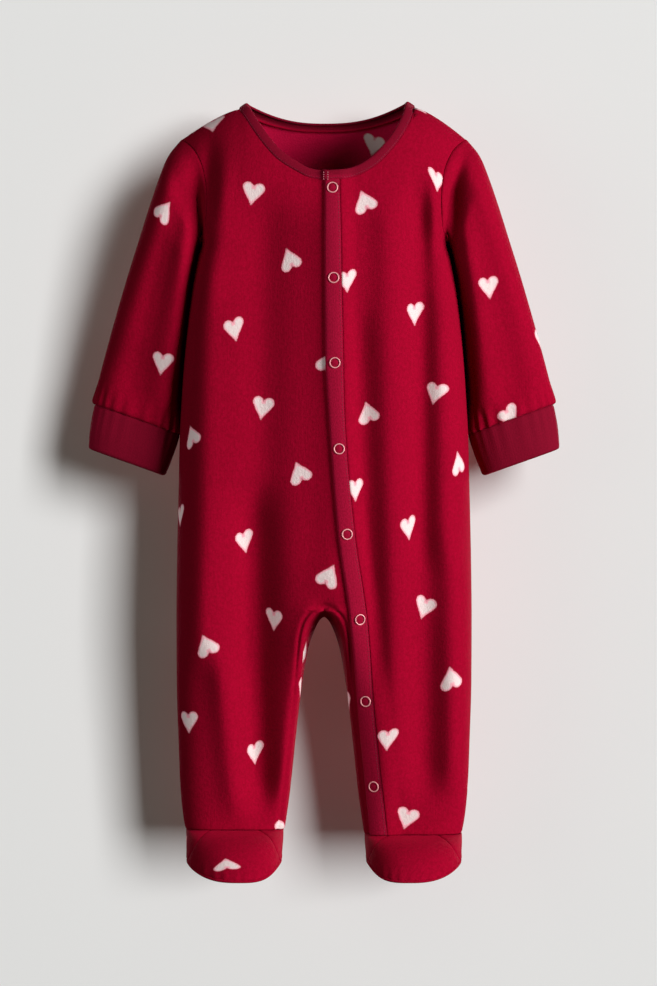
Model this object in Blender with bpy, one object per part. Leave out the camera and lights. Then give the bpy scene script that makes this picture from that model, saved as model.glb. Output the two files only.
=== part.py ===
"""A baby's footed sleepsuit in printed fleece, filled out as worn, with press snaps from neck to left ankle.

The wearer faces -Y, with the wearer's left at +X and the neck's shoulder points at the origin's height.
Sizes are in millimetres and become metres where a mesh is made. Every panel is a sheet of points on the
garment's outer surface, given a wall inwards. Neighbouring panels share their seam lines and stay SEAM apart.
"""

import math

import bmesh
import bpy
from mathutils import Matrix, Vector

MM = 0.001
FRONT, BACK = -1, 1
RIGHT, LEFT = -1, 1

# cloth
WALL = 1.8
BAND_WALL = 1.6
SEAM = 0.3
ARM_SEAM = 0.5

# heights
SHOULDER_TIP_Z = -28.5
ARMPIT_Z = -115.5
CROTCH_Z = -423.0
CROTCH_RISE = 80.0
CROTCH_ARCH = 45.0
ANKLE_Z = {RIGHT: -597.0, LEFT: -601.0}

# widths across the yoke
SHOULDER_TIP_X = 117.0
ARMPIT_X = 101.0
SHOULDER_BOW = 1.35
NECK_MIDDLE_X = 2.5
NECK_REACH, NECK_RISE = 72.5, 4.5
SHOULDER_START = {RIGHT: (70.0, -3.5), LEFT: (75.0, -2.2)}

# how full the body is
FULLNESS = 2.3
SHOULDER_ROUND = 75.0
SHOULDER_POWER = 1.8

# rows and columns of a panel
LEG_ROWS, CROTCH_ROWS, TRUNK_ROWS, YOKE_ROWS = 10, 5, 11, 8
OUTER_COLUMNS, INNER_COLUMNS = 5, 6
NECK_SHARE = OUTER_COLUMNS / (OUTER_COLUMNS + INNER_COLUMNS)
SPREAD = 0.75
ROW_CROWDING = 1.6

# placket and snaps
PLACKET_LIFT = 3.5
PLACKET_RAMP = 14.0
UNDERLAP_SHORT = 0.8
RING_RADIUS, RING_WIRE = 4.2, 0.55
SOCKET_RADIUS, SOCKET_HEIGHT = 3.2, 0.6
SNAP_HEIGHTS = (-72.4, -145.8, -215.0, -285.0, -354.4, -423.6, -490.9, -560.9)


class Rows:
    """A short table of sizes, read anywhere between its rows on smooth curves that never overshoot them."""

    def __init__(self, names, *rows):
        self.columns = dict(zip(names.split(), zip(*rows)))
        self.at = self.columns.pop(names.split()[0])
        self.slopes = {name: self.slopes_of(column) for name, column in self.columns.items()}

    def slopes_of(self, column):
        rises = [
            (column[i + 1] - column[i]) / (self.at[i + 1] - self.at[i]) for i in range(len(self.at) - 1)
        ]
        inner = [0.0 if a * b <= 0 else 2 * a * b / (a + b) for a, b in zip(rises, rises[1:])]
        return [rises[0], *inner, rises[-1]]

    def read(self, name, where):
        where = min(max(where, self.at[0]), self.at[-1])
        i = max(k for k in range(len(self.at) - 1) if self.at[k] <= where or k == 0)
        span = self.at[i + 1] - self.at[i]
        t = (where - self.at[i]) / span
        low, high = self.columns[name][i : i + 2]
        slope_low, slope_high = self.slopes[name][i : i + 2]
        return (
            low * (1 + 2 * t) * (1 - t) ** 2
            + high * t * t * (3 - 2 * t)
            + span * t * (1 - t) * (slope_low * (1 - t) - slope_high * t)
        )


# the body's sections, from the ankles up: half its width, half the width its middle swells as if it had,
# and how deep its front and back stand
BODY = Rows(
    "z half_width full front back",
    (-605.0, 112.5, 112.5, 24.5, 25.0),
    (-591.0, 115.5, 115.5, 26.0, 26.5),
    (-574.0, 117.6, 117.6, 28.0, 28.5),
    (-558.0, 118.8, 118.8, 29.5, 30.5),
    (-525.0, 120.0, 120.0, 33.0, 34.5),
    (-475.0, 121.5, 121.5, 38.0, 41.0),
    (-423.0, 121.7, 121.7, 45.0, 50.0),
    (-376.0, 121.2, 121.2, 50.0, 55.0),
    (-310.0, 119.8, 119.8, 52.0, 55.0),
    (-277.0, 119.0, 119.0, 52.5, 53.5),
    (-244.0, 117.2, 117.5, 52.5, 52.0),
    (-211.0, 115.0, 116.0, 52.5, 51.0),
    (-161.7, 110.0, 114.6, 51.6, 49.0),
    (-130.0, 104.8, 114.2, 50.9, 47.8),
    (-115.5, 101.0, 114.4, 50.6, 47.3),
    (-105.0, 103.5, 114.8, 50.3, 46.9),
    (-90.0, 108.5, 115.8, 49.9, 46.4),
    (-60.0, 116.0, 119.2, 49.2, 45.6),
    (-28.0, 125.0, 125.0, 48.6, 44.8),
    (2.0, 132.0, 132.0, 48.0, 44.0),
)
EDGE_POWER = 7

# the middle of each half's fullness: the garment's own middle in the trunk, each leg's lower down
THIGH = Rows(
    "z middle",
    (-605.0, 73.0),
    (-525.0, 71.5),
    (-475.0, 69.0),
    (-450.0, 66.0),
    (-423.0, 60.0),
    (-400.0, 52.0),
    (-376.0, 40.0),
    (-343.0, 19.0),
    (-305.0, 4.0),
    (-277.0, 0.0),
)

# half the gap between the legs
LEG_GAP = Rows(
    "z gap",
    (-605.0, 33.4),
    (-591.0, 31.4),
    (-574.0, 28.9),
    (-558.0, 27.0),
    (-525.0, 23.5),
    (-483.0, 18.6),
    (-455.0, 14.0),
    (-443.0, 11.0),
    (-432.0, 7.0),
    (-427.0, 4.4),
    (-424.0, 1.8),
    (-423.0, 0.0),
)

# the armhole's edge on the front and back panels
ARMHOLE = Rows(
    "z x",
    (-115.5, 101.0),
    (-108.0, 98.3),
    (-100.0, 96.8),
    (-79.0, 95.7),
    (-58.0, 98.2),
    (-40.0, 105.6),
    (-28.5, 117.0),
)

# the front neckline's height by its distance from the neck's middle
NECKLINE = Rows(
    "off right left",
    (0.0, -65.6, -65.6),
    (14.0, -63.4, -64.8),
    (26.0, -57.5, -61.0),
    (40.0, -48.4, -52.8),
    (53.0, -34.0, -39.5),
    (60.0, -24.0, -30.2),
    (66.0, -14.6, -20.0),
    (70.0, -7.8, -10.6),
    (72.5, -4.6, -3.4),
)
BACK_NECK_DROP = 15.2

# the placket's two edges on the front
PLACKET = Rows(
    "z near far",
    (-605.0, 39.0, 52.6),
    (-509.0, 29.5, 43.2),
    (-425.0, 20.4, 34.2),
    (-354.0, 11.2, 23.8),
    (-261.0, 4.6, 16.0),
    (-214.0, 2.2, 14.8),
    (-144.0, 1.6, 13.8),
    (-60.0, 1.2, 12.6),
)

# the largest folds: the line each follows, its half width, and how far it rises (+) or sinks (-)
FOLDS = (
    # face, x at top, x at bottom, top z, bottom z, half width, rise
    (FRONT, -92.0, -94.0, -12.0, -118.0, 10.0, -8.0),
    (FRONT, -98.0, -88.0, -120.0, -590.0, 22.0, 5.0),
    (FRONT, -58.0, -54.0, -140.0, -575.0, 20.0, -7.0),
    (FRONT, -14.0, -28.0, -240.0, -520.0, 20.0, 4.0),
    (FRONT, 92.0, 96.0, -55.0, -130.0, 9.0, 3.0),
    (FRONT, 56.0, 58.0, -60.0, -590.0, 16.0, 4.0),
    (FRONT, 80.0, 82.0, -50.0, -575.0, 12.0, -5.0),
    (FRONT, 103.0, 104.0, -120.0, -540.0, 13.0, 4.0),
    (BACK, -84.0, -90.0, -60.0, -585.0, 18.0, 5.0),
    (BACK, -52.0, -60.0, -120.0, -560.0, 18.0, -6.0),
    (BACK, -16.0, -24.0, -70.0, -410.0, 22.0, 4.0),
    (BACK, 22.0, 30.0, -200.0, -470.0, 18.0, -5.0),
    (BACK, 62.0, 54.0, -90.0, -560.0, 18.0, 5.0),
    (BACK, 92.0, 88.0, -130.0, -570.0, 15.0, -5.0),
)
FOLD_FADE = 50.0

# the sleeve's rings from the armhole down: the outer and inner ends of each, half its depth, its middle
SLEEVE = Rows(
    "v outer_x outer_z inner_x inner_z depth middle",
    (0.00, 117.0, -28.5, 101.0, -115.5, 28.0, -1.0),
    (0.10, 128.5, -43.5, 102.3, -118.5, 31.0, 3.0),
    (0.20, 136.3, -63.0, 103.3, -124.0, 32.0, 7.0),
    (0.30, 143.5, -84.0, 104.9, -134.0, 31.5, 10.0),
    (0.40, 151.5, -109.0, 107.2, -150.0, 30.0, 12.0),
    (0.55, 162.5, -143.5, 110.2, -176.0, 28.0, 14.0),
    (0.70, 173.3, -180.0, 113.0, -205.0, 26.0, 14.0),
    (0.85, 182.8, -214.0, 115.8, -238.0, 23.5, 14.0),
    (1.00, 191.0, -246.5, 118.0, -272.3, 21.0, 14.0),
)
SLEEVE_COLUMNS, SLEEVE_ROWS = 4 * YOKE_ROWS, 11
HEAD_SHARE = 0.22
GATHER, GATHER_FROM = 0.8, 0.86
SLEEVE_FOLDS = (
    # angle from the outer edge at the top and at the bottom, half width in degrees, rise
    (70.0, 60.0, 20.0, 2.5),
    (115.0, 100.0, 18.0, -3.0),
    (250.0, 240.0, 22.0, 2.5),
    (300.0, 295.0, 18.0, -2.5),
)

CUFF = Rows(
    "v outer_x outer_z inner_x inner_z depth middle",
    (0.0, 189.3, -247.9, 119.3, -272.9, 19.6, 14.0),
    (0.5, 192.6, -266.8, 125.2, -290.2, 19.2, 14.0),
    (1.0, 194.7, -284.0, 131.0, -306.3, 17.5, 14.0),
)
CUFF_COLUMNS, CUFF_ROWS = 16, 3

# the neck binding
BINDING_PULL = 65.7 / 72.5
BINDING_RISE, BINDING_LEAN = 4.4, 0.045

# the feet
FOOT_X = 73.5
ANKLE_HALF = 40.3
ANKLE_FRONT, ANKLE_BACK = 24.8, 25.4
SOLE_HALF, SOLE_MIDDLE_Y, SOLE_REACH = 39.0, -32.0, 56.0
SOLE_SIDE_Z, TOE_DROP, HEEL_DROP = -620.0, 13.5, 11.0
SOLE_BELLY = 3.0
TOE_IN = 5.0
SOLE_WALL, SOLE_SEAM = 2.0, 0.5
SOLE_COLUMNS = 20
TOE_ROUND = 0.6
FOOT_BELLY = 6.0
FOOT_ROWS, VAMP_COLUMNS, HEEL_COLUMNS, SOLE_RINGS = 7, 9, 15, 3
VAMP_ANGLE = Rows("t angle", (0.0, 27.0), (0.5, 50.0), (1.0, 76.0))


def lerp(a, b, t):
    return a + (b - a) * t


def ease(t):
    t = min(max(t, 0.0), 1.0)
    return t * t * (3 - 2 * t)


# --- the garment's outer surface -------------------------------------------------------------------------


def section(z):
    """One half's outer and inner edge at a height, and how far it is a leg (0 in the trunk, 1 below it)."""
    half_width = BODY.read("half_width", z)
    if z <= CROTCH_Z:
        return half_width, LEG_GAP.read("gap", z), 1.0
    return half_width, 0.0, max(0.0, 1 - (z - CROTCH_Z) / CROTCH_RISE) ** 2


def across(x, z):
    """How full the surface is from side to side: 1 over a half's middle, 0 at its edges."""
    outer, gap, leg = section(z)
    middle = THIGH.read("middle", z)
    out = abs(x) - middle
    if out >= 0:
        off = out / (outer - middle)
        narrowing = (outer - middle) / (BODY.read("full", z) - middle)
        off *= lerp(narrowing, 1, min(off, 1) ** EDGE_POWER)
    elif leg == 1:
        off = -out / (middle - gap)
    else:
        arch = max(0.0, 1 - (z - CROTCH_Z) / CROTCH_ARCH)
        seat = math.sqrt(1 - arch * arch)
        off = -out / middle * (1 - seat**FULLNESS) ** (1 / FULLNESS)
    return (1 - min(off, 1.0) ** FULLNESS) ** (1 / FULLNESS)


def shoulder_z(x):
    """The shoulder line's height, level over the neck and falling to the sleeve."""
    start_x, start_z = SHOULDER_START[LEFT if x > 0 else RIGHT]
    out = abs(x) - start_x
    if out < 0:
        return start_z - NECK_RISE * math.expm1(out / NECK_RISE / 2)
    return lerp(start_z, SHOULDER_TIP_Z, (out / (SHOULDER_TIP_X - start_x)) ** SHOULDER_BOW)


def fold(face, x, z):
    total = 0.0
    for its_face, top_x, bottom_x, top_z, bottom_z, half_width, rise in FOLDS:
        if its_face == face and bottom_z < z < top_z:
            line = lerp(bottom_x, top_x, (z - bottom_z) / (top_z - bottom_z))
            ends = ease((z - bottom_z) / FOLD_FADE) * ease((top_z - z) / FOLD_FADE)
            total += rise * ends * math.exp(-(((x - line) / half_width) ** 2))
    return total


def depth(face, x, z):
    """The surface's place in y: full over the middle, closing to the side seams, legs and shoulders."""
    down = min(max((shoulder_z(x) - z) / SHOULDER_ROUND, 0.0), 1.0)
    over = (1 - (1 - down) ** SHOULDER_POWER) ** (1 / SHOULDER_POWER)
    size = BODY.read("front" if face == FRONT else "back", z)
    return face * across(x, z) * over * (size + fold(face, x, z))


def normal(face, x, z):
    """The outward direction at a place on the surface."""
    step = 0.05
    outer, gap, leg = section(z)
    side = math.copysign(1, x)
    if z <= ARMPIT_Z and abs(x) > outer - step:
        widening = (BODY.read("half_width", z + step) - BODY.read("half_width", z - step)) / (2 * step)
        return Vector((side, 0, -widening if z < ARMPIT_Z else 0)).normalized()
    if leg == 1 and abs(x) < gap + step:
        if z > CROTCH_Z - step:
            return Vector((0, 0, -1))
        closing = (LEG_GAP.read("gap", z + step) - LEG_GAP.read("gap", z - step)) / (2 * step)
        return Vector((-side, 0, closing)).normalized()
    z = min(z, shoulder_z(x) - 2 * step)
    slope_x = (depth(face, x + step, z) - depth(face, x - step, z)) / (2 * step)
    slope_z = (depth(face, x, z + step) - depth(face, x, z - step)) / (2 * step)
    return Vector((-face * slope_x, face, -face * slope_z)).normalized()


def cloth(face, x, z, lift=0.0, wall=WALL):
    """The outer and inner points of the cloth at a place, kept half a seam off the middle plane."""
    spot = Vector((x, depth(face, x, z), z))
    out = normal(face, x, z)
    pair = (spot + out * lift, spot + out * (lift - wall))
    for point in pair:
        point.y = face * max(face * point.y, SEAM / 2)
    return pair


def levels(side):
    """A panel's row heights, from the ankle up; the yoke's rows go on to 0, the top of every column."""
    leg = CROTCH_Z - ANKLE_Z[side]
    rows = [CROTCH_Z - leg * (1 - i / LEG_ROWS) ** ROW_CROWDING for i in range(LEG_ROWS)]
    rows += [CROTCH_Z + CROTCH_RISE * (i / CROTCH_ROWS) ** ROW_CROWDING for i in range(CROTCH_ROWS)]
    trunk_low = CROTCH_Z + CROTCH_RISE
    rows += [lerp(trunk_low, ARMPIT_Z, i / TRUNK_ROWS) for i in range(TRUNK_ROWS)]
    return rows + [ARMPIT_Z * (1 - yoke_share(i)) for i in range(YOKE_ROWS + 1)]


def yoke_share(row):
    return (1 - math.cos(math.pi * row / YOKE_ROWS)) / 2


def neck_z(face, x):
    """The neckline's height on a panel, or the shoulder line's beyond the neck."""
    off = x - NECK_MIDDLE_X
    if abs(off) >= NECK_REACH:
        return shoulder_z(x)
    if face == FRONT:
        return NECKLINE.read("right" if off < 0 else "left", abs(off))
    start = NECKLINE.columns["right" if off < 0 else "left"][-1]
    return start - BACK_NECK_DROP * (1 - (abs(off) / NECK_REACH) ** 2.5) ** 1.2


def yoke_x(side, part, share):
    """Across the yoke: part is 1 at the armhole and 0 at the middle, share runs up from the armpit."""
    neck = NECK_REACH + side * NECK_MIDDLE_X
    neck_part = math.cos(math.pi / 2 * NECK_SHARE**SPREAD)
    if part <= neck_part:
        top = neck * part / neck_part
    else:
        top = lerp(neck, SHOULDER_TIP_X, (part - neck_part) / (1 - neck_part))
    edge_z = lerp(ARMPIT_Z, SHOULDER_TIP_Z, share)
    bow = ARMHOLE.read("x", edge_z) - lerp(ARMPIT_X, SHOULDER_TIP_X, share)
    return lerp(part * ARMPIT_X, top, share) + bow * part**3, top


def place(side, face, share, level):
    """x and z on one half: share runs from the side seam to the middle or the inner leg, level is its row."""
    if level <= ARMPIT_Z:
        outer, gap, leg = section(level)
        reach = (outer - gap) / (1 + leg)
        middle = outer - reach
        last = math.acos(max((gap - middle) / reach, -1.0))
        angle = last * share ** lerp(SPREAD, 1, leg)
        return side * (middle + reach * math.cos(angle)), level
    up = 1 - level / ARMPIT_Z
    x, top = yoke_x(side, math.cos(math.pi / 2 * share**SPREAD), up)
    return side * x, lerp(ARMPIT_Z, neck_z(face, side * top), up)


def share_at(side, face, x, level):
    """The share that place() needs to land on a given x."""
    low, high = 0.0, 1.0
    for _ in range(40):
        middle = (low + high) / 2
        if side * place(side, face, middle, level)[0] > side * x:
            low = middle
        else:
            high = middle
    return low


def shares(stop, outer=OUTER_COLUMNS, inner=INNER_COLUMNS):
    first = [NECK_SHARE * i / outer for i in range(outer)]
    return first + [lerp(NECK_SHARE, stop, i / inner) for i in range(inner + 1)]


def placket_share(name, level, further=0.0):
    """The share at which a row of the left front meets an edge of the placket."""
    z = place(LEFT, FRONT, 0.95, level)[1]
    return share_at(LEFT, FRONT, PLACKET.read(name, z) + further, level)


def ramp(x, z):
    """How far the left front is lifted beside the placket that it carries."""
    return PLACKET_LIFT * (1 - ease((x - PLACKET.read("far", z)) / PLACKET_RAMP))


# --- meshes ----------------------------------------------------------------------------------------------


def sheet(bm, inward, rows, closed=False):
    """A loft through rows of (outer, inner) points; inward keeps each vertex's place on the inner side."""
    grid = []
    for row in rows:
        line = []
        for outer, inner in row:
            vertex = bm.verts.new(outer * MM)
            inward[vertex] = inner * MM
            line.append(vertex)
        grid.append(line + line[:1] if closed else line)
    for low, high in zip(grid, grid[1:]):
        for i in range(len(low) - 1):
            bm.faces.new([low[i], low[i + 1], high[i + 1], high[i]])
    return grid


def thicken(bm, inward):
    """Gives a sheet its wall: an inner layer, and a rim along every open edge."""
    open_edges = [edge for edge in bm.edges if edge.is_boundary]
    skins = bm.faces[:]
    inner = {vertex: bm.verts.new(inward[vertex]) for vertex in bm.verts[:]}
    for edge in open_edges:
        loop = edge.link_loops[0]
        start, end = loop.vert, loop.link_loop_next.vert
        bm.faces.new([end, start, inner[start], inner[end]])
    for face in skins:
        bm.faces.new([inner[vertex] for vertex in reversed(face.verts)])


def finish(name, bm, material):
    bmesh.ops.recalc_face_normals(bm, faces=bm.faces)
    mesh = bpy.data.meshes.new(name)
    bm.to_mesh(mesh)
    bm.free()
    mesh.shade_smooth()
    mesh.set_sharp_from_angle(angle=math.radians(50))
    mesh.materials.append(material)
    piece = bpy.data.objects.new(name, mesh)
    suit.objects.link(piece)
    return piece


def panel(name, material, *grids, closed=False):
    """A cloth panel from one or more grids of rows, welded where they share a line."""
    bm = bmesh.new()
    inward = {}
    for rows in grids:
        sheet(bm, inward, rows, closed)
    if len(grids) > 1:
        weld(bm)
    thicken(bm, inward)
    return finish(name, bm, material)


def weld(bm):
    """Joins the points that two grids share; the first grid's point stays."""
    targets = {}
    for vertex in bm.verts:
        key = tuple(round(value / 1e-5) for value in vertex.co)
        targets.setdefault(key, []).append(vertex)
    merged = {other: group[0] for group in targets.values() for other in group[1:]}
    bmesh.ops.weld_verts(bm, targetmap=merged)


def material(name, colour, roughness, metallic=0.0):
    made = bpy.data.materials.new(name)
    made.use_nodes = True
    shader = made.node_tree.nodes["Principled BSDF"]
    shader.inputs["Base Color"].default_value = (*colour, 1)
    shader.inputs["Roughness"].default_value = roughness
    shader.inputs["Metallic"].default_value = metallic
    return made


# --- the body panels -------------------------------------------------------------------------------------


def half(side, face, stop=lambda level: 1.0, inner=INNER_COLUMNS, lift=lambda x, z: 0.0):
    """One half of the front or back, in rows from the ankle up."""
    rows = []
    for level in levels(side):
        spots = [place(side, face, share, level) for share in shares(stop(level), inner=inner)]
        rows.append([cloth(face, x, z, lift(x, z)) for x, z in spots])
    return rows


def underlap():
    """From the middle line, or the left leg's inner seam, to the edge that lies under the placket."""
    rows = []
    for level in levels(LEFT):
        near = placket_share("near", level)
        far = placket_share("far", level, -UNDERLAP_SHORT)
        stops = [1.0, (1 + near) / 2, near, (near + far) / 2, far]
        rows.append([cloth(FRONT, *place(LEFT, FRONT, stop, level)) for stop in stops])
    return rows


def front_right():
    return panel("front_right", fleece, half(RIGHT, FRONT), underlap())


def front_left():
    return panel("front_left", fleece, half(LEFT, FRONT, left_stop, INNER_COLUMNS - 1, ramp))


def left_stop(level):
    return placket_share("far", level, SEAM)


def back():
    return panel("back", fleece, half(RIGHT, BACK), half(LEFT, BACK))


def placket():
    """The snap band, lying over the underlap from the ankle to the neck binding."""
    rows = []
    for level in levels(LEFT):
        near, far = placket_share("near", level), placket_share("far", level)
        stops = [near, (near + far) / 2, far]
        spots = [place(LEFT, FRONT, stop, level) for stop in stops]
        rows.append([cloth(FRONT, x, z, PLACKET_LIFT, BAND_WALL) for x, z in spots])
    return panel("placket", jersey, rows)


# --- the neck binding ------------------------------------------------------------------------------------


def binding():
    """A band that goes on from the panels' neck edge, its left end lapped over its right at the placket."""
    near, far = placket_share("near", 0.0), placket_share("far", 0.0)
    under = [placket_share("far", 0.0, -UNDERLAP_SHORT), (near + far) / 2, near]
    rows = [band_row(LEFT, FRONT, share, False) for share in under]
    rows += [band_row(RIGHT, FRONT, share, False) for share in reversed(shares(1.0)[OUTER_COLUMNS:])]
    rows += [band_row(RIGHT, BACK, share, False) for share in shares(1.0)[OUTER_COLUMNS + 1 :]]
    rows += [band_row(LEFT, BACK, share, False) for share in reversed(shares(1.0)[OUTER_COLUMNS + 1 : -1])]
    left = shares(left_stop(0.0), inner=INNER_COLUMNS - 1)[OUTER_COLUMNS:-1]
    rows += [band_row(LEFT, FRONT, share, True) for share in [*left, far, (near + far) / 2, near]]
    return panel("neck_binding", jersey, rows)


def band_row(side, face, share, lifted):
    x = place(side, face, share, 0.0)[0]
    return [band_spot(face, x, rise, lifted) for rise in (0.0, 0.5, 1.0)]


def band_spot(face, x, rise, lifted):
    """A place on the binding: rise is 0 at the panels' neck edge and 1 at the opening."""
    off = x - NECK_MIDDLE_X
    z = neck_z(face, x)
    seam_up = BINDING_RISE + BINDING_LEAN * abs(z)
    length = math.hypot(off * (1 - BINDING_PULL), seam_up)
    rise = lerp(SEAM / length, 1.0, rise)
    x -= off * (1 - BINDING_PULL) * rise
    z += seam_up * rise
    lift = ramp(x, z) if lifted else 0.0
    if abs(abs(off) - NECK_REACH) < 0.01:
        spot, out = Vector((x, 0, z)), Vector((math.copysign(0.35, off), 0, 1)).normalized()
    else:
        spot, out = Vector((x, depth(face, x, z), z)), normal(face, x, z)
    return spot + out * lift, spot + out * (lift - BAND_WALL)


# --- sleeves and cuffs -----------------------------------------------------------------------------------


def ring_point(table, v, angle):
    """A point on one of a tube's oval rings: angle 0 is the outer edge, 90 the front, 180 the inner edge."""
    outer = Vector((table.read("outer_x", v), 0, table.read("outer_z", v)))
    inner = Vector((table.read("inner_x", v), 0, table.read("inner_z", v)))
    centre = (outer + inner) / 2 + Vector((0, table.read("middle", v), 0))
    forward = Vector((0, -table.read("depth", v), 0))
    return centre + (outer - inner) / 2 * math.cos(angle) + forward * math.sin(angle)


def armhole_point(side, angle):
    """The armhole's edge on the body, by the same angle as the sleeve's rings, in the left sleeve's frame."""
    share = (1 + math.cos(angle)) / 2
    face = FRONT if math.sin(angle) > 0 else BACK
    z = lerp(ARMPIT_Z, SHOULDER_TIP_Z, share)
    x = ARMHOLE.read("x", z)
    return Vector((x, depth(face, side * x, z), z))


def sleeve_fold(v, angle):
    degrees = math.degrees(angle) % 360
    total = 0.0
    for top, bottom, half_width, rise in SLEEVE_FOLDS:
        off = (degrees - lerp(top, bottom, v)) / half_width
        total += rise * math.exp(-off * off)
    return total * ease(v / 0.25) * ease((1 - v) / 0.12)


def sleeve_point(side, v, angle):
    """The sleeve's surface: the armhole's own edge at the top, easing into oval rings."""
    point = ring_point(SLEEVE, v, angle)
    blend = max(0.0, 1 - v / HEAD_SHARE) ** 2
    if blend:
        point += (armhole_point(side, angle) - ring_point(SLEEVE, 0.0, angle)) * blend
    centre = (ring_point(SLEEVE, v, 0.0) + ring_point(SLEEVE, v, math.pi)) / 2
    return point + (point - centre).normalized() * sleeve_fold(v, angle)


def surface_normal(point_at, v, angle, first=0.0, last=1.0):
    step = 0.01
    low, high = max(v - step, first), min(v + step, last)
    along = point_at(high, angle) - point_at(low, angle)
    around = point_at(v, angle + step) - point_at(v, angle - step)
    return around.cross(along).normalized()


def tube_row(point_at, v, columns, side, wall=WALL, gather=0.0):
    row = []
    for i in range(columns):
        angle = 2 * math.pi * i / columns
        out = surface_normal(point_at, v, angle)
        spot = point_at(v, angle) + out * (gather if i % 2 else -gather)
        row.append((mirrored(spot, side), mirrored(spot - out * wall, side)))
    return row


def head_row(side, point_at):
    """The sleeve's first row, beside the armhole's edge, its wall standing like the body's over the shoulder."""
    corners = []
    for i in range(SLEEVE_COLUMNS // 2):
        angle = 4 * math.pi * i / SLEEVE_COLUMNS
        spot = point_at(0.0, angle)
        away = (point_at(0.03, angle) - spot).normalized()
        face = FRONT if math.sin(angle) > 0 else BACK
        body_out = mirrored(normal(face, side * spot.x, spot.z), side)
        out = surface_normal(point_at, 0.02, angle).lerp(body_out, ease((math.cos(angle) + 0.9) / 0.6))
        spot = spot + away * ARM_SEAM
        corners.append((mirrored(spot, side), mirrored(spot - out.normalized() * WALL, side)))
    row = []
    for pair, further in zip(corners, [*corners[1:], corners[0]]):
        row += [pair, tuple((a + b) / 2 for a, b in zip(pair, further))]
    return row


def mirrored(point, side):
    return Vector((side * point.x, point.y, point.z))


def sleeve(side, name):
    def point_at(v, angle):
        return sleeve_point(side, v, angle)

    rows = [head_row(side, point_at)]
    for i in range(1, SLEEVE_ROWS + 1):
        v = (i / SLEEVE_ROWS) ** 1.15
        gather = GATHER * ease((v - GATHER_FROM) / (1 - GATHER_FROM))
        rows.append(tube_row(point_at, v, SLEEVE_COLUMNS, side, gather=gather))
    return panel(name, fleece, rows, closed=True)


def cuff(side, name):
    def point_at(v, angle):
        return ring_point(CUFF, v, angle)

    rows = [
        tube_row(point_at, i / CUFF_ROWS, CUFF_COLUMNS, side, wall=BAND_WALL) for i in range(CUFF_ROWS + 1)
    ]
    return panel(name, jersey, rows, closed=True)


# --- feet ------------------------------------------------------------------------------------------------


def ankle_point(side, angle):
    size = ANKLE_FRONT if math.cos(angle) > 0 else ANKLE_BACK
    across = math.copysign(abs(math.sin(angle)) ** 0.9, math.sin(angle))
    return Vector((ANKLE_HALF * across, -size * math.cos(angle), ANKLE_Z[side] - SEAM))


def sole_point(side, angle):
    forward = math.cos(angle)
    across = math.copysign(abs(math.sin(angle)) ** 0.85, math.sin(angle))
    drop = TOE_DROP if forward > 0 else HEEL_DROP
    x = SOLE_HALF * across - TOE_IN * max(0.0, forward) ** 2
    return Vector((x, SOLE_MIDDLE_Y - SOLE_REACH * forward, SOLE_SIDE_Z - drop * forward**2))


def foot_point(side, t, angle):
    """The foot's upper surface from the ankle, t = 0, to the sole's edge; angle 0 is the toe, 180 the heel."""
    top, bottom = ankle_point(side, angle), sole_point(side, angle)
    quarter = math.pi / 2 * t
    point = top.lerp(bottom, lerp(t, math.sin(quarter), TOE_ROUND))
    point.z = lerp(top.z, bottom.z, lerp(t, 1 - math.cos(quarter), TOE_ROUND))
    out = Vector((math.sin(angle), -math.cos(angle), 0))
    return point + out * FOOT_BELLY * max(0.0, -math.cos(angle)) * math.sin(math.pi * t)


def foot_pair(side, t, angle):
    def point_at(v, turned):
        return foot_point(side, v, turned)

    spot = point_at(t, angle)
    out = -surface_normal(point_at, t, angle)
    out.z *= ease(t / 0.3) * ease((1 - t) / 0.4)
    return spot, spot - out.normalized() * WALL


def seat(side, pairs):
    """Puts a foot's rows under its leg; both feet are made as the left one and the right one is mirrored."""
    place_x = side * FOOT_X
    return [
        [tuple(Vector((place_x + side * point.x, point.y, point.z)) for point in pair) for pair in row]
        for row in pairs
    ]


def vamp(side, name):
    rows = []
    for i in range(FOOT_ROWS + 1):
        t = i / FOOT_ROWS
        edge = math.radians(VAMP_ANGLE.read("angle", t)) - SEAM / 2 / 40
        rows.append([foot_pair(side, t, lerp(-edge, edge, j / VAMP_COLUMNS)) for j in range(VAMP_COLUMNS + 1)])
    return panel(name, fleece, seat(side, rows))


def heel(side, name):
    rows = []
    for i in range(FOOT_ROWS + 1):
        t = i / FOOT_ROWS
        edge = math.radians(VAMP_ANGLE.read("angle", t)) + SEAM / 2 / 40
        angles = [lerp(edge, 2 * math.pi - edge, j / HEEL_COLUMNS) for j in range(HEEL_COLUMNS + 1)]
        rows.append([foot_pair(side, t, angle) for angle in angles])
    return panel(name, fleece, seat(side, rows))


def sole(side, name):
    """The sole: rings that shrink from the upper's edge, closed by one small face."""
    rows = []
    for i in range(SOLE_RINGS + 1):
        share = 1 - i / (SOLE_RINGS + 0.6)
        row = []
        for j in range(SOLE_COLUMNS):
            edge = sole_point(side, 2 * math.pi * j / SOLE_COLUMNS)
            y = lerp(SOLE_MIDDLE_Y, edge.y, share)
            z = lerp(SOLE_SIDE_Z - HEEL_DROP, edge.z, share**2) - SOLE_SEAM - SOLE_BELLY * (1 - share**2)
            row.append((Vector((edge.x * share, y, z - SOLE_WALL)), Vector((edge.x * share, y, z))))
        rows.append(row)
    bm = bmesh.new()
    inward = {}
    grid = sheet(bm, inward, seat(side, rows), closed=True)
    bm.faces.new(grid[-1][:-1])
    thicken(bm, inward)
    return finish(name, bm, fleece)


# --- press snaps -----------------------------------------------------------------------------------------


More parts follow.
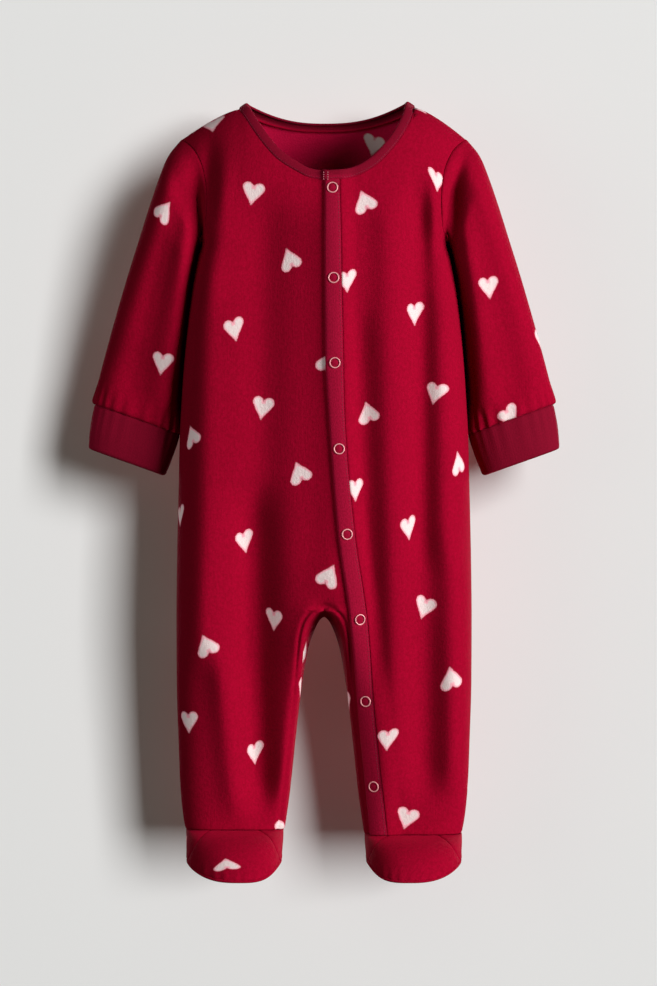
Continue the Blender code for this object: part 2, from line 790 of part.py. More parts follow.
def snap_frame(z, lift):
    """A frame on the placket's middle line at a height, its Z axis outward, clear of the cloth it lies on."""
    x = (PLACKET.read("near", z) + PLACKET.read("far", z)) / 2
    turns = [Matrix.Rotation(math.radians(45 * i), 3, "Y") @ Vector((RING_RADIUS, 0, 0)) for i in range(8)]
    around = [Vector((x + turn.x, depth(FRONT, x + turn.x, z + turn.z), z + turn.z)) for turn in turns]
    out = (around[0] - around[4]).cross(around[2] - around[6]).normalized()
    if out.y > 0:
        out.negate()
    spot = Vector((x, depth(FRONT, x, z), z))
    rise = max(0.0, *((point - spot).dot(out) for point in around))
    return Matrix.Translation((spot + out * (lift + rise)) * MM) @ out.to_track_quat("Z", "Y").to_matrix().to_4x4()


def snap(number, z):
    frame = snap_frame(z, PLACKET_LIFT + SEAM + RING_WIRE)
    bpy.ops.mesh.primitive_torus_add(
        major_radius=RING_RADIUS * MM, minor_radius=RING_WIRE * MM, major_segments=14, minor_segments=6
    )
    keep(f"snap_ring_{number}", frame, ring_metal)
    inner_face = PLACKET_LIFT - BAND_WALL
    frame = snap_frame(z, inner_face / 2)
    bpy.ops.mesh.primitive_cylinder_add(
        radius=SOCKET_RADIUS * MM, depth=SOCKET_HEIGHT * MM, vertices=12, end_fill_type="NGON"
    )
    keep(f"snap_socket_{number}", frame, socket_metal)


def keep(name, frame, its_material):
    """Names the primitive just added, places it and moves it to the suit's collection."""
    piece = bpy.context.object
    piece.name = name
    piece.data.name = name
    piece.matrix_world = frame
    piece.data.shade_smooth()
    piece.data.set_sharp_from_angle(angle=math.radians(50))
    piece.data.materials.append(its_material)
    for collection in list(piece.users_collection):
        collection.objects.unlink(piece)
    suit.objects.link(piece)


# --- the suit --------------------------------------------------------------------------------------------

for old in list(bpy.data.objects):
    bpy.data.objects.remove(old)

suit = bpy.data.collections.new("footed_sleepsuit")
bpy.context.scene.collection.children.link(suit)

fleece = material("red_fleece", (0.27, 0.002, 0.022), 0.95)
jersey = material("red_jersey", (0.24, 0.004, 0.026), 0.9)
ring_metal = material("pink_ring_metal", (0.85, 0.62, 0.58), 0.35, 0.8)
socket_metal = material("socket_metal", (0.7, 0.7, 0.7), 0.4, 1.0)

front_right()
front_left()
back()
placket()
binding()
for side, word in ((RIGHT, "right"), (LEFT, "left")):
    sleeve(side, f"sleeve_{word}")
    cuff(side, f"cuff_{word}")
    vamp(side, f"vamp_{word}")
    heel(side, f"heel_{word}")
    sole(side, f"sole_{word}")
for number, z in enumerate(SNAP_HEIGHTS, start=1):
    snap(number, z)
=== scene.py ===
"""A baby's footed sleepsuit in red fleece printed with pale hearts, filled out as worn, before a pale wall.

The suit is made up in the order a maker would sew it: the back, the two fronts, the snap band, the neck
binding, the sleeves, their cuffs, the feet and the press snaps. Shapes are worked out in millimetres, and the
suit's right and left are the wearer's: its right is at negative x.
"""

import math
from bisect import bisect_right

import bmesh
import bpy
from mathutils import Matrix, Vector
from mathutils.bvhtree import BVHTree


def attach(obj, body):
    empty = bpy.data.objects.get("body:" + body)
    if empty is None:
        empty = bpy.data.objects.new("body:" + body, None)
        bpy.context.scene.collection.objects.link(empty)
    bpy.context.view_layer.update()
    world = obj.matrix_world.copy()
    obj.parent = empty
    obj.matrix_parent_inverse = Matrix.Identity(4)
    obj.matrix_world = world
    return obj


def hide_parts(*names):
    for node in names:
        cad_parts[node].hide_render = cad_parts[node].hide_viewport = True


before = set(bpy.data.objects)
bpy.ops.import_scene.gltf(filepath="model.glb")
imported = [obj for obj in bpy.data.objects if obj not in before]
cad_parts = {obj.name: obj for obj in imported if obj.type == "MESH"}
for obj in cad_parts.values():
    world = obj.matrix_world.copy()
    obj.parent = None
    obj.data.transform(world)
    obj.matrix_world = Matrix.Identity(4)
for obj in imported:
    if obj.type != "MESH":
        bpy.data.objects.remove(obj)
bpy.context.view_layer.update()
MM = 0.001

# --- the room --------------------------------------------------------------------------------------------
# A pale floor, and a smooth pale wall close behind the suit, seen only from its front. A tall soft lamp at
# positive x is kept for the wall, two weak ones soften the shade that the suit throws on it, and one lights the
# floor. Four more light the suit alone: one across its folds, one from the other side and two on its back.

camera = bpy.data.objects.new("camera", bpy.data.cameras.new("camera"))
camera.data.lens = 177
camera.data.sensor_width = 36
camera.location = (0.0037, -4.0, -0.3209)
camera.rotation_euler = (math.radians(90), 0, 0)
bpy.context.scene.collection.objects.link(camera)
bpy.context.scene.camera = camera
bpy.context.scene.view_settings.view_transform = "Standard"

# what each lamp lights, and what throws a shade in its light
lit_wall = bpy.data.collections.new("lit_wall")
lit_floor = bpy.data.collections.new("lit_floor")
lit_suit = bpy.data.collections.new("lit_suit")
shades_wall = bpy.data.collections.new("shades_wall")
shades_nothing = bpy.data.collections.new("shades_nothing")


def lamp(name, lit, at, width, height, power, aim=(0, 0, -0.3), tint=(1, 1, 1), shaded_by=None):
    """A soft lamp for one collection, shaded by another if one is given."""
    light = bpy.data.lights.new(name, "AREA")
    light.shape = "RECTANGLE"
    light.size, light.size_y = width, height
    light.energy, light.color = power, tint
    holder = bpy.data.objects.new(name, light)
    holder.location = at
    holder.rotation_euler = (Vector(aim) - Vector(at)).to_track_quat("-Z", "Y").to_euler()
    holder.light_linking.receiver_collection = lit
    if shaded_by:
        holder.light_linking.blocker_collection = shaded_by
    bpy.context.scene.collection.objects.link(holder)


lamp("wall_softbox", lit_wall, (5.8, -10.2, 2.5), 4, 6, 1560, shaded_by=shades_wall)
lamp("wall_fill", lit_wall, (0, -6, 0.5), 5, 5, 22, tint=(1, 0.96, 0.72), shaded_by=shades_nothing)
lamp("wall_left_fill", lit_wall, (-6, -5, 0.3), 4, 4, 32, tint=(1, 0.98, 0.85), shaded_by=shades_wall)
lamp("floor_softbox", lit_floor, (0, -1, 9), 9, 9, 1200, aim=(0, 0, -1))
lamp("suit_softbox", lit_suit, (3.65, -2.6, 0.35), 3, 2.4, 318)
lamp("suit_fill", lit_suit, (-3.4, -2.6, 0), 2.6, 2.6, 74)
lamp("rear_right", lit_suit, (1.6, 3, 0.4), 1.6, 2, 70)
lamp("rear_left", lit_suit, (-1.2, 3.2, 0.4), 1.6, 2, 34)

# hardly any light comes from the room itself; the camera alone sees it as pale, past the floor and the wall
room = bpy.data.worlds.new("room")
room.use_nodes = True
tree = room.node_tree
dim_room, pale_room = tree.nodes["Background"], tree.nodes.new("ShaderNodeBackground")
for background, grey, strength in ((dim_room, 1.0, 0.035), (pale_room, 0.6, 1.0)):
    background.inputs["Color"].default_value = (grey, grey, grey, 1)
    background.inputs["Strength"].default_value = strength
seen = tree.nodes.new("ShaderNodeLightPath")
either = tree.nodes.new("ShaderNodeMixShader")
tree.links.new(seen.outputs["Is Camera Ray"], either.inputs[0])
tree.links.new(dim_room.outputs[0], either.inputs[1])
tree.links.new(pale_room.outputs[0], either.inputs[2])
tree.links.new(either.outputs[0], tree.nodes["World Output"].inputs["Surface"])
bpy.context.scene.world = room


class Value:
    """A number that varies over a surface. Arithmetic on it adds Math nodes to its finish."""

    def __init__(self, finish, socket):
        self.finish, self.socket = finish, socket

    def maths(self, operation, *values):
        node = self.finish.node("ShaderNodeMath", {"operation": operation}, dict(enumerate(values)))
        return Value(self.finish, node.outputs[0])

    def __add__(self, other):
        return self.maths("ADD", self, other)

    def __sub__(self, other):
        return self.maths("SUBTRACT", self, other)

    def __mul__(self, other):
        return self.maths("MULTIPLY", self, other)

    def __truediv__(self, other):
        return self.maths("DIVIDE", self, other)

    def __pow__(self, other):
        return self.maths("POWER", self, other)

    def __rsub__(self, other):
        return self.maths("SUBTRACT", other, self)

    __radd__ = __add__
    __rmul__ = __mul__


class Finish:
    """A material's nodes: node() adds any one of them, and shade() sets or links the shader's sockets."""

    def __init__(self, name):
        self.material = bpy.data.materials.new(name)
        self.material.use_nodes = True
        self.tree = self.material.node_tree
        self.shader = self.tree.nodes["Principled BSDF"]

    def node(self, kind, settings=None, inputs=None):
        node = self.tree.nodes.new(kind)
        for name, setting in (settings or {}).items():
            setattr(node, name, setting)
        for key, given in (inputs or {}).items():
            self.put(node.inputs[key], given)
        return node

    def put(self, socket, given):
        if isinstance(given, Value):
            given = given.socket
        if isinstance(given, bpy.types.NodeSocket):
            self.tree.links.new(given, socket)
        else:
            socket.default_value = given

    def shade(self, inputs):
        for name, given in inputs.items():
            self.put(self.shader.inputs[name], given)

    def noise(self, vector, scale, detail=2.0, roughness=0.5):
        inputs = {"Vector": vector, "Scale": scale, "Detail": detail, "Roughness": roughness}
        return Value(self, self.node("ShaderNodeTexNoise", None, inputs).outputs[0])

    def stretched(self, vector, scale, turn=(0, 0, 0)):
        inputs = {"Vector": vector, "Scale": scale, "Rotation": turn}
        return self.node("ShaderNodeMapping", None, inputs).outputs[0]

    def mixed(self, share, one, other):
        node = self.node("ShaderNodeMix", {"data_type": "RGBA"})
        for key, given in ((0, share), (6, one), (7, other)):
            self.put(node.inputs[key], given)
        return node.outputs[2]

    def eased(self, value, low, high):
        inputs = {"Value": value, "From Min": low, "From Max": high}
        node = self.node("ShaderNodeMapRange", {"interpolation_type": "SMOOTHSTEP"}, inputs)
        return Value(self, node.outputs[0])

    def bump(self, height, distance, strength=1.0):
        inputs = {"Height": height, "Distance": distance, "Strength": strength}
        return self.node("ShaderNodeBump", None, inputs).outputs[0]


def object_place(finish):
    """The point on the piece, in the piece's own coordinates."""
    return finish.node("ShaderNodeTexCoord").outputs["Object"]


def axes_of(finish, vector, *axes):
    """Some of a vector's axes, each as a Value."""
    parts = finish.node("ShaderNodeSeparateXYZ", None, {0: vector})
    return [Value(finish, parts.outputs[axis]) for axis in axes]


plaster = Finish("pale_plaster")
grain = plaster.noise(object_place(plaster), 3.0)
plaster.shade(
    {
        "Base Color": plaster.mixed(grain, (0.765, 0.77, 0.77, 1), (0.785, 0.785, 0.78, 1)),
        "Roughness": 0.9,
        "Specular IOR Level": 0.1,
    }
)
facing = plaster.node("ShaderNodeNewGeometry").outputs["Backfacing"]
clear = plaster.node("ShaderNodeBsdfTransparent").outputs[0]
one_sided = plaster.node("ShaderNodeMixShader", None, {0: facing, 1: plaster.shader.outputs[0], 2: clear})
plaster.put(plaster.tree.nodes["Material Output"].inputs["Surface"], one_sided.outputs[0])
FLOOR_Z, WALL_Y = -0.76, 0.078


def room_plane(name, half_width, half_height, at):
    """A flat face of the room; at carries it to its place with its front towards the suit."""
    bm = bmesh.new()
    bmesh.ops.create_grid(bm, x_segments=1, y_segments=1, size=1)
    bmesh.ops.scale(bm, vec=(half_width, half_height, 1), verts=bm.verts)
    bmesh.ops.transform(bm, matrix=at, verts=bm.verts)
    mesh = bpy.data.meshes.new(name)
    bm.to_mesh(mesh)
    bm.free()
    mesh.materials.append(plaster.material)
    plane = bpy.data.objects.new(name, mesh)
    bpy.context.scene.collection.objects.link(plane)
    return plane


floor = room_plane("floor", 5, 5, Matrix.Translation((0, 0, FLOOR_Z)))
floor.visible_diffuse = floor.visible_glossy = False
lit_floor.objects.link(floor)
shades_nothing.objects.link(floor)
upright = Matrix.Rotation(math.radians(90), 4, "X")
wall = room_plane("wall", 6, 4, Matrix.Translation((0, WALL_Y, 0)) @ upright)
lit_wall.objects.link(wall)
wall.visible_shadow = wall.visible_diffuse = wall.visible_glossy = wall.visible_transmission = False

# --- the back --------------------------------------------------------------------------------------------
# One piece of brushed fleece from the shoulders to both ankles, 1.8 mm thick, cut between the legs, where it
# comes forward to the fronts' edge. It is sewn to the fronts at the shoulders, sides and inner legs, and each
# sewn edge is turned under.

FRONT, BACK = -1, 1
RIGHT, LEFT = -1, 1
SIDES = ((RIGHT, "right"), (LEFT, "left"))
WALL = 1.8
SEAM = 0.3
SEAM_SINK, SEAM_EASE, SEAM_TURN, SEAM_SHUT = 0.8, 0.25, 2.0, 1.0
FOOT_SINK_SHARE, ARMPIT_EASE = 0.35, 9.0
WELD = 0.01
INNER_LEG_X = 60.0

SHOULDER_TIP_X, SHOULDER_TIP_Z = 117.0, -28.5
ARMPIT_X, ARMPIT_Z = 101.0, -115.5
CROTCH_RISE, CROTCH_ARCH, CROTCH_BEND = 80.0, 45.0, 14.0
CROTCH_Z = {FRONT: -417.0, BACK: -423.0}
ANKLE_Z = {RIGHT: -597.0, LEFT: -601.0}
SHOULDER_BOW = 1.35
NECK_MIDDLE_X, NECK_REACH, NECK_RISE, BACK_NECK_DROP = 2.5, 72.5, 4.5, 15.2
SHOULDER_START = {RIGHT: (70.0, -3.5), LEFT: (75.0, -2.2)}
FULLNESS, SHOULDER_ROUND, SHOULDER_POWER, EDGE_POWER = 3.1, 75.0, 1.8, 7
NECK_SHARE, SPREAD = 5 / 11, 0.75

LEG_ROWS, CROTCH_ROWS, TRUNK_ROWS, YOKE_ROWS = 66, 32, 76, 40
OUTER_COLUMNS, INNER_COLUMNS, GUSSET_COLUMNS = 24, 34, 8
OUTER_CLOSER, INNER_CLOSER, ANKLE_CLOSER, CROTCH_CLOSER, YOKE_CLOSER = 1.5, 1.35, 0.7, 1.4, 0.6


class Rows:
    """A short table of sizes, read anywhere between its rows on smooth curves that never overshoot them."""

    def __init__(self, names, *rows):
        names = names.split()
        self.columns = dict(zip(names, zip(*rows)))
        self.at = self.columns.pop(names[0])
        self.slopes = {name: self.slopes_of(column) for name, column in self.columns.items()}

    def slopes_of(self, column):
        steps = zip(column, column[1:], self.at, self.at[1:])
        rises = [(high - low) / (after - before) for low, high, before, after in steps]
        inner = [0.0 if a * b <= 0 else 2 * a * b / (a + b) for a, b in zip(rises, rises[1:])]
        return [rises[0], *inner, rises[-1]]

    def read(self, name, where):
        where = min(max(where, self.at[0]), self.at[-1])
        i = min(max(bisect_right(self.at, where) - 1, 0), len(self.at) - 2)
        span = self.at[i + 1] - self.at[i]
        t = (where - self.at[i]) / span
        low, high = self.columns[name][i : i + 2]
        slope_low, slope_high = self.slopes[name][i : i + 2]
        return (
            low * (1 + 2 * t) * (1 - t) ** 2
            + high * t * t * (3 - 2 * t)
            + span * t * (1 - t) * (slope_low * (1 - t) - slope_high * t)
        )


# the body's sections: half its width, the half width that its fullness is read by, depth of front and back
BODY = Rows(
    "z half_width full front back",
    (-605, 112.5, 112.5, 24.5, 25),
    (-591, 115.5, 115.5, 26, 26.5),
    (-574, 117.6, 117.6, 28, 28.5),
    (-558, 118.8, 118.8, 29.5, 30.5),
    (-525, 120, 120, 33, 34.5),
    (-475, 121.5, 121.5, 38, 41),
    (-423, 121.7, 121.7, 45, 50),
    (-376, 121.2, 121.2, 50, 55),
    (-310, 119.8, 119.8, 52, 55),
    (-277, 119, 119, 52.5, 53.5),
    (-244, 117.2, 117.5, 52.5, 52),
    (-211, 115, 116, 52.5, 51),
    (-161.7, 110, 114.6, 51.6, 49),
    (-130, 104.8, 114.2, 50.9, 47.8),
    (-115.5, 101, 114.4, 50.6, 47.3),
    (-105, 103.5, 114.8, 50.3, 46.9),
    (-90, 108.5, 115.8, 49.9, 46.4),
    (-60, 116, 119.2, 49.2, 45.6),
    (-28, 125, 125, 48.6, 44.8),
    (2, 132, 132, 48, 44),
)
# the middle of each half's fullness
THIGH = Rows(
    "z middle",
    (-605, 73),
    (-525, 71.5),
    (-475, 69),
    (-450, 66),
    (-423, 60),
    (-400, 52),
    (-376, 40),
    (-343, 19),
    (-305, 4),
    (-277, 0),
)
# half the gap between the legs
LEG_GAP = Rows(
    "z gap",
    (-605, 33.4),
    (-591, 31.4),
    (-574, 28.9),
    (-558, 27),
    (-525, 23.5),
    (-483, 18.6),
    (-455, 14),
    (-443, 11),
    (-432, 7),
    (-427, 4.4),
    (-424, 1.8),
    (-423, 0),
)
# the front's edge round the crotch: half its gap, wider than the back's, and how far forward it is held
FRONT_GAP = Rows(
    "z gap forward",
    (-520, 22.9, 0),
    (-505, 21.2, 4),
    (-490, 19.6, 10),
    (-475, 18.5, 19),
    (-460, 17.5, 29),
    (-450, 16.8, 35),
    (-440, 15.8, 40),
    (-430, 13.6, 43.5),
    (-424, 10.4, 45),
    (-420, 6.4, 45.6),
    (-418, 3.2, 46),
    (-417, 0, 46),
)
# the armhole's edge
ARMHOLE = Rows(
    "z x",
    (-115.5, 101),
    (-108, 98.3),
    (-100, 96.8),
    (-79, 95.7),
    (-58, 98.2),
    (-40, 105.6),
    (-28.5, 117),
)
# the front neckline's height by its distance from the neck's middle
NECKLINE = Rows(
    "off right left",
    (0, -65.6, -65.6),
    (14, -63.4, -64.8),
    (26, -57.5, -61),
    (40, -48.4, -52.8),
    (53, -34, -39.5),
    (60, -24, -30.2),
    (66, -14.6, -20),
    (70, -7.8, -10.6),
    (72.5, -4.6, -3.4),
)
# the folds: face, x at top, x at bottom, top z, bottom z, half width, rise
FOLDS = (
    (FRONT, -94, -95, -12, -118, 8, -9),
    (FRONT, -84, -96, -30, -190, 12, 4),
    (FRONT, -100, -103, -110, -480, 15, 6.5),
    (FRONT, -86, -68, -430, -604, 12, 7.5),
    (FRONT, -50, -54, -60, -590, 21, -6.5),
    (FRONT, -60, -51, -300, -604, 16, -10),
    (FRONT, -10, -38, -400, -604, 10, 6),
    (FRONT, 4, 14, -64, -470, 18, 4),
    (FRONT, 0, 4, -360, -470, 22, 3.5),
    (FRONT, 87, 93, -45, -150, 7, 5),
    (FRONT, 101, 102, -50, -130, 6, -10),
    (FRONT, 27, 44, -150, -500, 11, -4),
    (FRONT, 52, 58, -60, -590, 14, 4.5),
    (FRONT, 79, 81, -50, -400, 11, -9),
    (FRONT, 82, 84, -350, -590, 14, -7),
    (FRONT, 101, 104, -130, -400, 12, 6),
    (FRONT, 108, 109, -340, -590, 12, 6),
    (BACK, -84, -90, -60, -585, 18, 5),
    (BACK, -52, -60, -120, -560, 18, -6),
    (BACK, -16, -24, -70, -410, 22, 4),
    (BACK, 22, 30, -200, -470, 18, -5),
    (BACK, 62, 54, -90, -560, 18, 5),
    (BACK, 92, 88, -130, -570, 15, -5),
)
FOLD_FADE = 50.0


def lerp(a, b, t):
    return a + (b - a) * t


def ease(t):
    t = min(max(t, 0.0), 1.0)
    return t * t * (3 - 2 * t)


def leg_gap(face, z):
    """Half the gap between the legs, wider in front round the crotch."""
    if face == FRONT and z > FRONT_GAP.at[0]:
        return max(LEG_GAP.read("gap", z), FRONT_GAP.read("gap", z))
    return LEG_GAP.read("gap", z)


def section(face, z):
    """One half's outer and inner edge at a height, and how far it is a leg."""
    half_width = BODY.read("half_width", z)
    if z <= CROTCH_Z[face]:
        return half_width, leg_gap(face, z), 1.0
    return half_width, 0.0, max(0.0, 1 - (z - CROTCH_Z[face]) / CROTCH_RISE) ** 2


def across(face, x, z):
    """How full the cloth stands from side to side: 1 over a half's middle, 0 at its edges."""
    outer, gap, leg = section(face, z)
    middle = THIGH.read("middle", z)
    out = abs(x) - middle
    if out >= 0:
        off = out / (outer - middle)
        narrowing = (outer - middle) / (BODY.read("full", z) - middle)
        off *= lerp(narrowing, 1, min(off, 1) ** EDGE_POWER)
    elif leg == 1:
        off = -out / (middle - gap)
    else:
        arch = max(0.0, 1 - (z - CROTCH_Z[face]) / CROTCH_ARCH)
        seat = math.sqrt(1 - arch * arch)
        bend = CROTCH_BEND * min(1.0, 8 * (1 - arch))
        off = (1 - (math.hypot(x, bend) - bend) / middle) * (1 - seat**FULLNESS) ** (1 / FULLNESS)
    return (1 - min(off, 1.0) ** FULLNESS) ** (1 / FULLNESS)


def shoulder_z(x):
    """The height of the shoulder line, rounding over into the neck's opening."""
    start_x, start_z = (lerp(*pair, ease((x + 30) / 60)) for pair in zip(*SHOULDER_START.values()))
    out = abs(x) - start_x
    if out < 0:
        return start_z - NECK_RISE * math.expm1(out / NECK_RISE / 2)
    return lerp(start_z, SHOULDER_TIP_Z, (out / (SHOULDER_TIP_X - start_x)) ** SHOULDER_BOW)


def fold(face, x, z):
    """How far the folds push the cloth out, each fading at its ends."""
    total = 0.0
    for its_face, top_x, bottom_x, top_z, bottom_z, half_width, rise in FOLDS:
        if its_face == face and bottom_z < z < top_z:
            line = lerp(bottom_x, top_x, (z - bottom_z) / (top_z - bottom_z))
            ends = ease((z - bottom_z) / FOLD_FADE) * ease((top_z - z) / FOLD_FADE)
            total += rise * ends * math.exp(-(((x - line) / half_width) ** 2))
    return total


def depth(face, x, z):
    """The cloth's place in y, closing to the side seams, legs and shoulders."""
    down = min(max((shoulder_z(x) - z) / SHOULDER_ROUND, 0.0), 1.0)
    over = (1 - (1 - down) ** SHOULDER_POWER) ** (1 / SHOULDER_POWER)
    size = over * (BODY.read("front" if face == FRONT else "back", z) + fold(face, x, z))
    held = FRONT_GAP.read("forward", z) if face == FRONT and abs(x) < THIGH.read("middle", z) else 0.0
    return face * lerp(held, size, across(face, x, z))


def outward(face, x, z):
    """The outward direction of the cloth where it isn't at an edge."""
    step = 0.05
    z = min(z, shoulder_z(x) - 2 * step)
    slope_x = (depth(face, x + step, z) - depth(face, x - step, z)) / (2 * step)
    slope_z = (depth(face, x, z + step) - depth(face, x, z - step)) / (2 * step)
    return Vector((-face * slope_x, face, -face * slope_z)).normalized()


def levels(side, face, finer=1):
    """A panel's row heights from the ankle up; the yoke's rows go on to 0, the top of every column."""
    crotch = CROTCH_Z[face]
    leg = crotch - ANKLE_Z[side]
    leg_rows, crotch_rows, trunk_rows, yoke_rows = (
        round(count * finer) for count in (LEG_ROWS, CROTCH_ROWS, TRUNK_ROWS, YOKE_ROWS)
    )
    downs = (1 - i / leg_rows for i in range(leg_rows))
    rows = [crotch - leg * lerp(down, ease(down), ANKLE_CLOSER) for down in downs]
    rows += [crotch + CROTCH_RISE * (i / crotch_rows) ** CROTCH_CLOSER for i in range(crotch_rows)]
    rows += [lerp(crotch + CROTCH_RISE, ARMPIT_Z, i / trunk_rows) for i in range(trunk_rows)]
    ups = (i / yoke_rows for i in range(yoke_rows + 1))
    ups = [lerp(up, (1 - math.cos(math.pi * up)) / 2, YOKE_CLOSER) for up in ups]
    return rows + [ARMPIT_Z * (1 - up) for up in ups]


def neck_z(face, x):
    """The neckline's height on a panel, or the shoulder line's beyond the neck."""
    off = x - NECK_MIDDLE_X
    if abs(off) >= NECK_REACH:
        return shoulder_z(x)
    if face == FRONT:
        return NECKLINE.read("right" if off < 0 else "left", abs(off))
    start = lerp(NECKLINE.columns["right"][-1], NECKLINE.columns["left"][-1], (off / NECK_REACH + 1) / 2)
    return start - BACK_NECK_DROP * (1 - (abs(off) / NECK_REACH) ** 2.5) ** 1.2


def yoke_x(side, part, share):
    """Across the yoke: part is 1 at the armhole and 0 at the middle, share runs up from the armpit."""
    neck = NECK_REACH + side * NECK_MIDDLE_X
    neck_part = math.cos(math.pi / 2 * NECK_SHARE**SPREAD)
    if part <= neck_part:
        top = neck * part / neck_part
    else:
        top = lerp(neck, SHOULDER_TIP_X, (part - neck_part) / (1 - neck_part))
    edge_z = lerp(ARMPIT_Z, SHOULDER_TIP_Z, share)
    bow = ARMHOLE.read("x", edge_z) - lerp(ARMPIT_X, SHOULDER_TIP_X, share)
    return lerp(part * ARMPIT_X, top, share) + bow * part**3, top


def place(side, face, share, level):
    """x and z on one half: share runs from the side seam to the middle or the inner leg, level is its row."""
    if level <= ARMPIT_Z:
        outer, gap, leg = section(face, level)
        reach = (outer - gap) / (1 + leg)
        middle = outer - reach
        last = math.acos(max((gap - middle) / reach, -1.0))
        angle = last * share ** lerp(SPREAD, 1, leg)
        return side * (middle + reach * math.cos(angle)), level
    up = 1 - level / ARMPIT_Z
    x, top = yoke_x(side, math.cos(math.pi / 2 * share**SPREAD), up)
    return side * x, lerp(ARMPIT_Z, neck_z(face, side * top), up)


def shares(stop):
    """Where a half's columns run, closest together at the side seam and at the other end."""
    outer = [NECK_SHARE * (i / OUTER_COLUMNS) ** OUTER_CLOSER for i in range(OUTER_COLUMNS)]
    inner = [1 - (1 - i / INNER_COLUMNS) ** INNER_CLOSER for i in range(INNER_COLUMNS + 1)]
    return outer + [lerp(NECK_SHARE, stop, t) for t in inner]


def cloth(face, x, z, lift=0.0):
    """A point of the cloth, half a seam off the middle plane except on the inner legs."""
    spot = Vector((x, depth(face, x, z), z))
    if lift:
        spot += outward(face, x, z) * lift
    if abs(x) > INNER_LEG_X or z > CROTCH_Z[BACK]:
        spot.y = face * max(face * spot.y, SEAM / 2)
    return spot


def raised(face, x, z, lift):
    """A point lifted off the cloth, with the cloth's outward direction there."""
    out = outward(face, x, z)
    return Vector((x, depth(face, x, z), z)) + out * lift, out


def half(side, face, stop=lambda level: 1.0, lift=lambda x, z: 0.0):
    """Rows of points over one half of the front or back, run so that the cloth faces outwards."""
    rows = []
    for level in levels(side, face):
        spots = [place(side, face, share, level) for share in shares(stop(level))]
        rows.append([cloth(face, x, z, lift(x, z)) for x, z in spots])
    return rows if side == face else [row[::-1] for row in rows]


def gusset(side):
    """Rows over the part of the back that comes forward between the legs, to the fronts' inner edge."""
    rows = []
    for back_z, front_z in list(zip(levels(side, BACK), levels(side, FRONT)))[: LEG_ROWS + 1]:
        if front_z > FRONT_GAP.at[0]:
            behind = Vector((side * leg_gap(BACK, back_z), 0, back_z))
            ahead = Vector((side * leg_gap(FRONT, front_z), 0, front_z))
            forward = Vector((0, -FRONT_GAP.read("forward", front_z), 0))
            steps = [i / GUSSET_COLUMNS for i in range(GUSSET_COLUMNS + 1)]
            rows.append([behind.lerp(ahead, t**1.5) + forward * t for t in steps])
    return rows if side == BACK else [row[::-1] for row in rows]


def lay_cloth(bm, rows):
    """A grid of cloth through rows of points, with its lengths along and across kept for the knit."""
    knit = bm.loops.layers.uv.get("knit") or bm.loops.layers.uv.new("knit")
    columns, last = len(rows[0]) - 1, len(rows) - 1
    grid = bmesh.ops.create_grid(bm, x_segments=columns, y_segments=last, size=1)
    middle_row = rows[last // 2]
    along_row, up_side = [0.0], [0.0]
    for one, other in zip(middle_row, middle_row[1:]):
        along_row.append(along_row[-1] + (other - one).length)
    for one, other in zip(rows, rows[1:]):
        up_side.append(up_side[-1] + (other[columns // 2] - one[columns // 2]).length)
    lengths = {}
    for vertex in grid["verts"]:
        column = round((vertex.co.x + 1) / 2 * columns)
        row = round((vertex.co.y + 1) / 2 * last)
        vertex.co = rows[row][column] * MM
        lengths[vertex] = (along_row[column] * MM, up_side[row] * MM)
    for face in {face for vertex in grid["verts"] for face in vertex.link_faces}:
        for loop in face.loops:
            loop[knit].uv = lengths[loop.vert]


def turn_under(bm, stays=lambda spot: False, sink=SEAM_SINK, turn=SEAM_TURN):
    """Pulls a panel's sewn edges in, as their stitches do, and turns a narrow allowance under.

    The allowance leans over the seam, so that it lies against the one of the next panel.
    """
    bm.normal_update()
    edges = [e for e in bm.edges if e.is_boundary and not stays((e.verts[0].co + e.verts[1].co) / 2 / MM)]
    rim = {vertex: vertex.normal.copy() for edge in edges for vertex in edge.verts}
    away, beside = {}, set()
    for vertex, out in rim.items():
        inner = [v for v in (edge.other_vert(vertex) for edge in vertex.link_edges) if v not in rim]
        lean = sum((vertex.co - v.co for v in inner), Vector())
        away[vertex] = (lean - out * lean.dot(out)).normalized()
        beside.update(inner)
    eased = {vertex: vertex.normal * SEAM_EASE * sink * MM for vertex in beside}
    for vertex, out in rim.items():
        from_armpit = math.hypot(abs(vertex.co.x / MM) - ARMPIT_X, vertex.co.z / MM - ARMPIT_Z)
        at_foot = vertex.co.z / MM < ANKLE_Z[RIGHT] + 2
        flat = FOOT_SINK_SHARE if at_foot else ease((from_armpit - 1) / ARMPIT_EASE)
        vertex.co -= out * sink * flat * MM
    for vertex, shift in eased.items():
        vertex.co -= shift
    made = bmesh.ops.extrude_edge_only(bm, edges=edges)["geom"]
    for vertex in (part for part in made if isinstance(part, bmesh.types.BMVert)):
        source = next(o for o in (e.other_vert(vertex) for e in vertex.link_edges) if o in rim)
        vertex.co = source.co + (away[source] * SEAM_SHUT - rim[source] * turn) * MM


# the printed hearts: which way each points and leans, tip down or tip up, then their usual size
DOWN, LEANING, UP, UP_LEANING = (-10, -10), (10, 20), (200, 205), (155, 155)
HEART_WIDE, HEART_TALL, HEART_DRAWN_WIDE = 14.0, 17.8, 0.77
HEART_REACH, HEART_FEEL = 22.0, 6.0
SEEN = 200.0


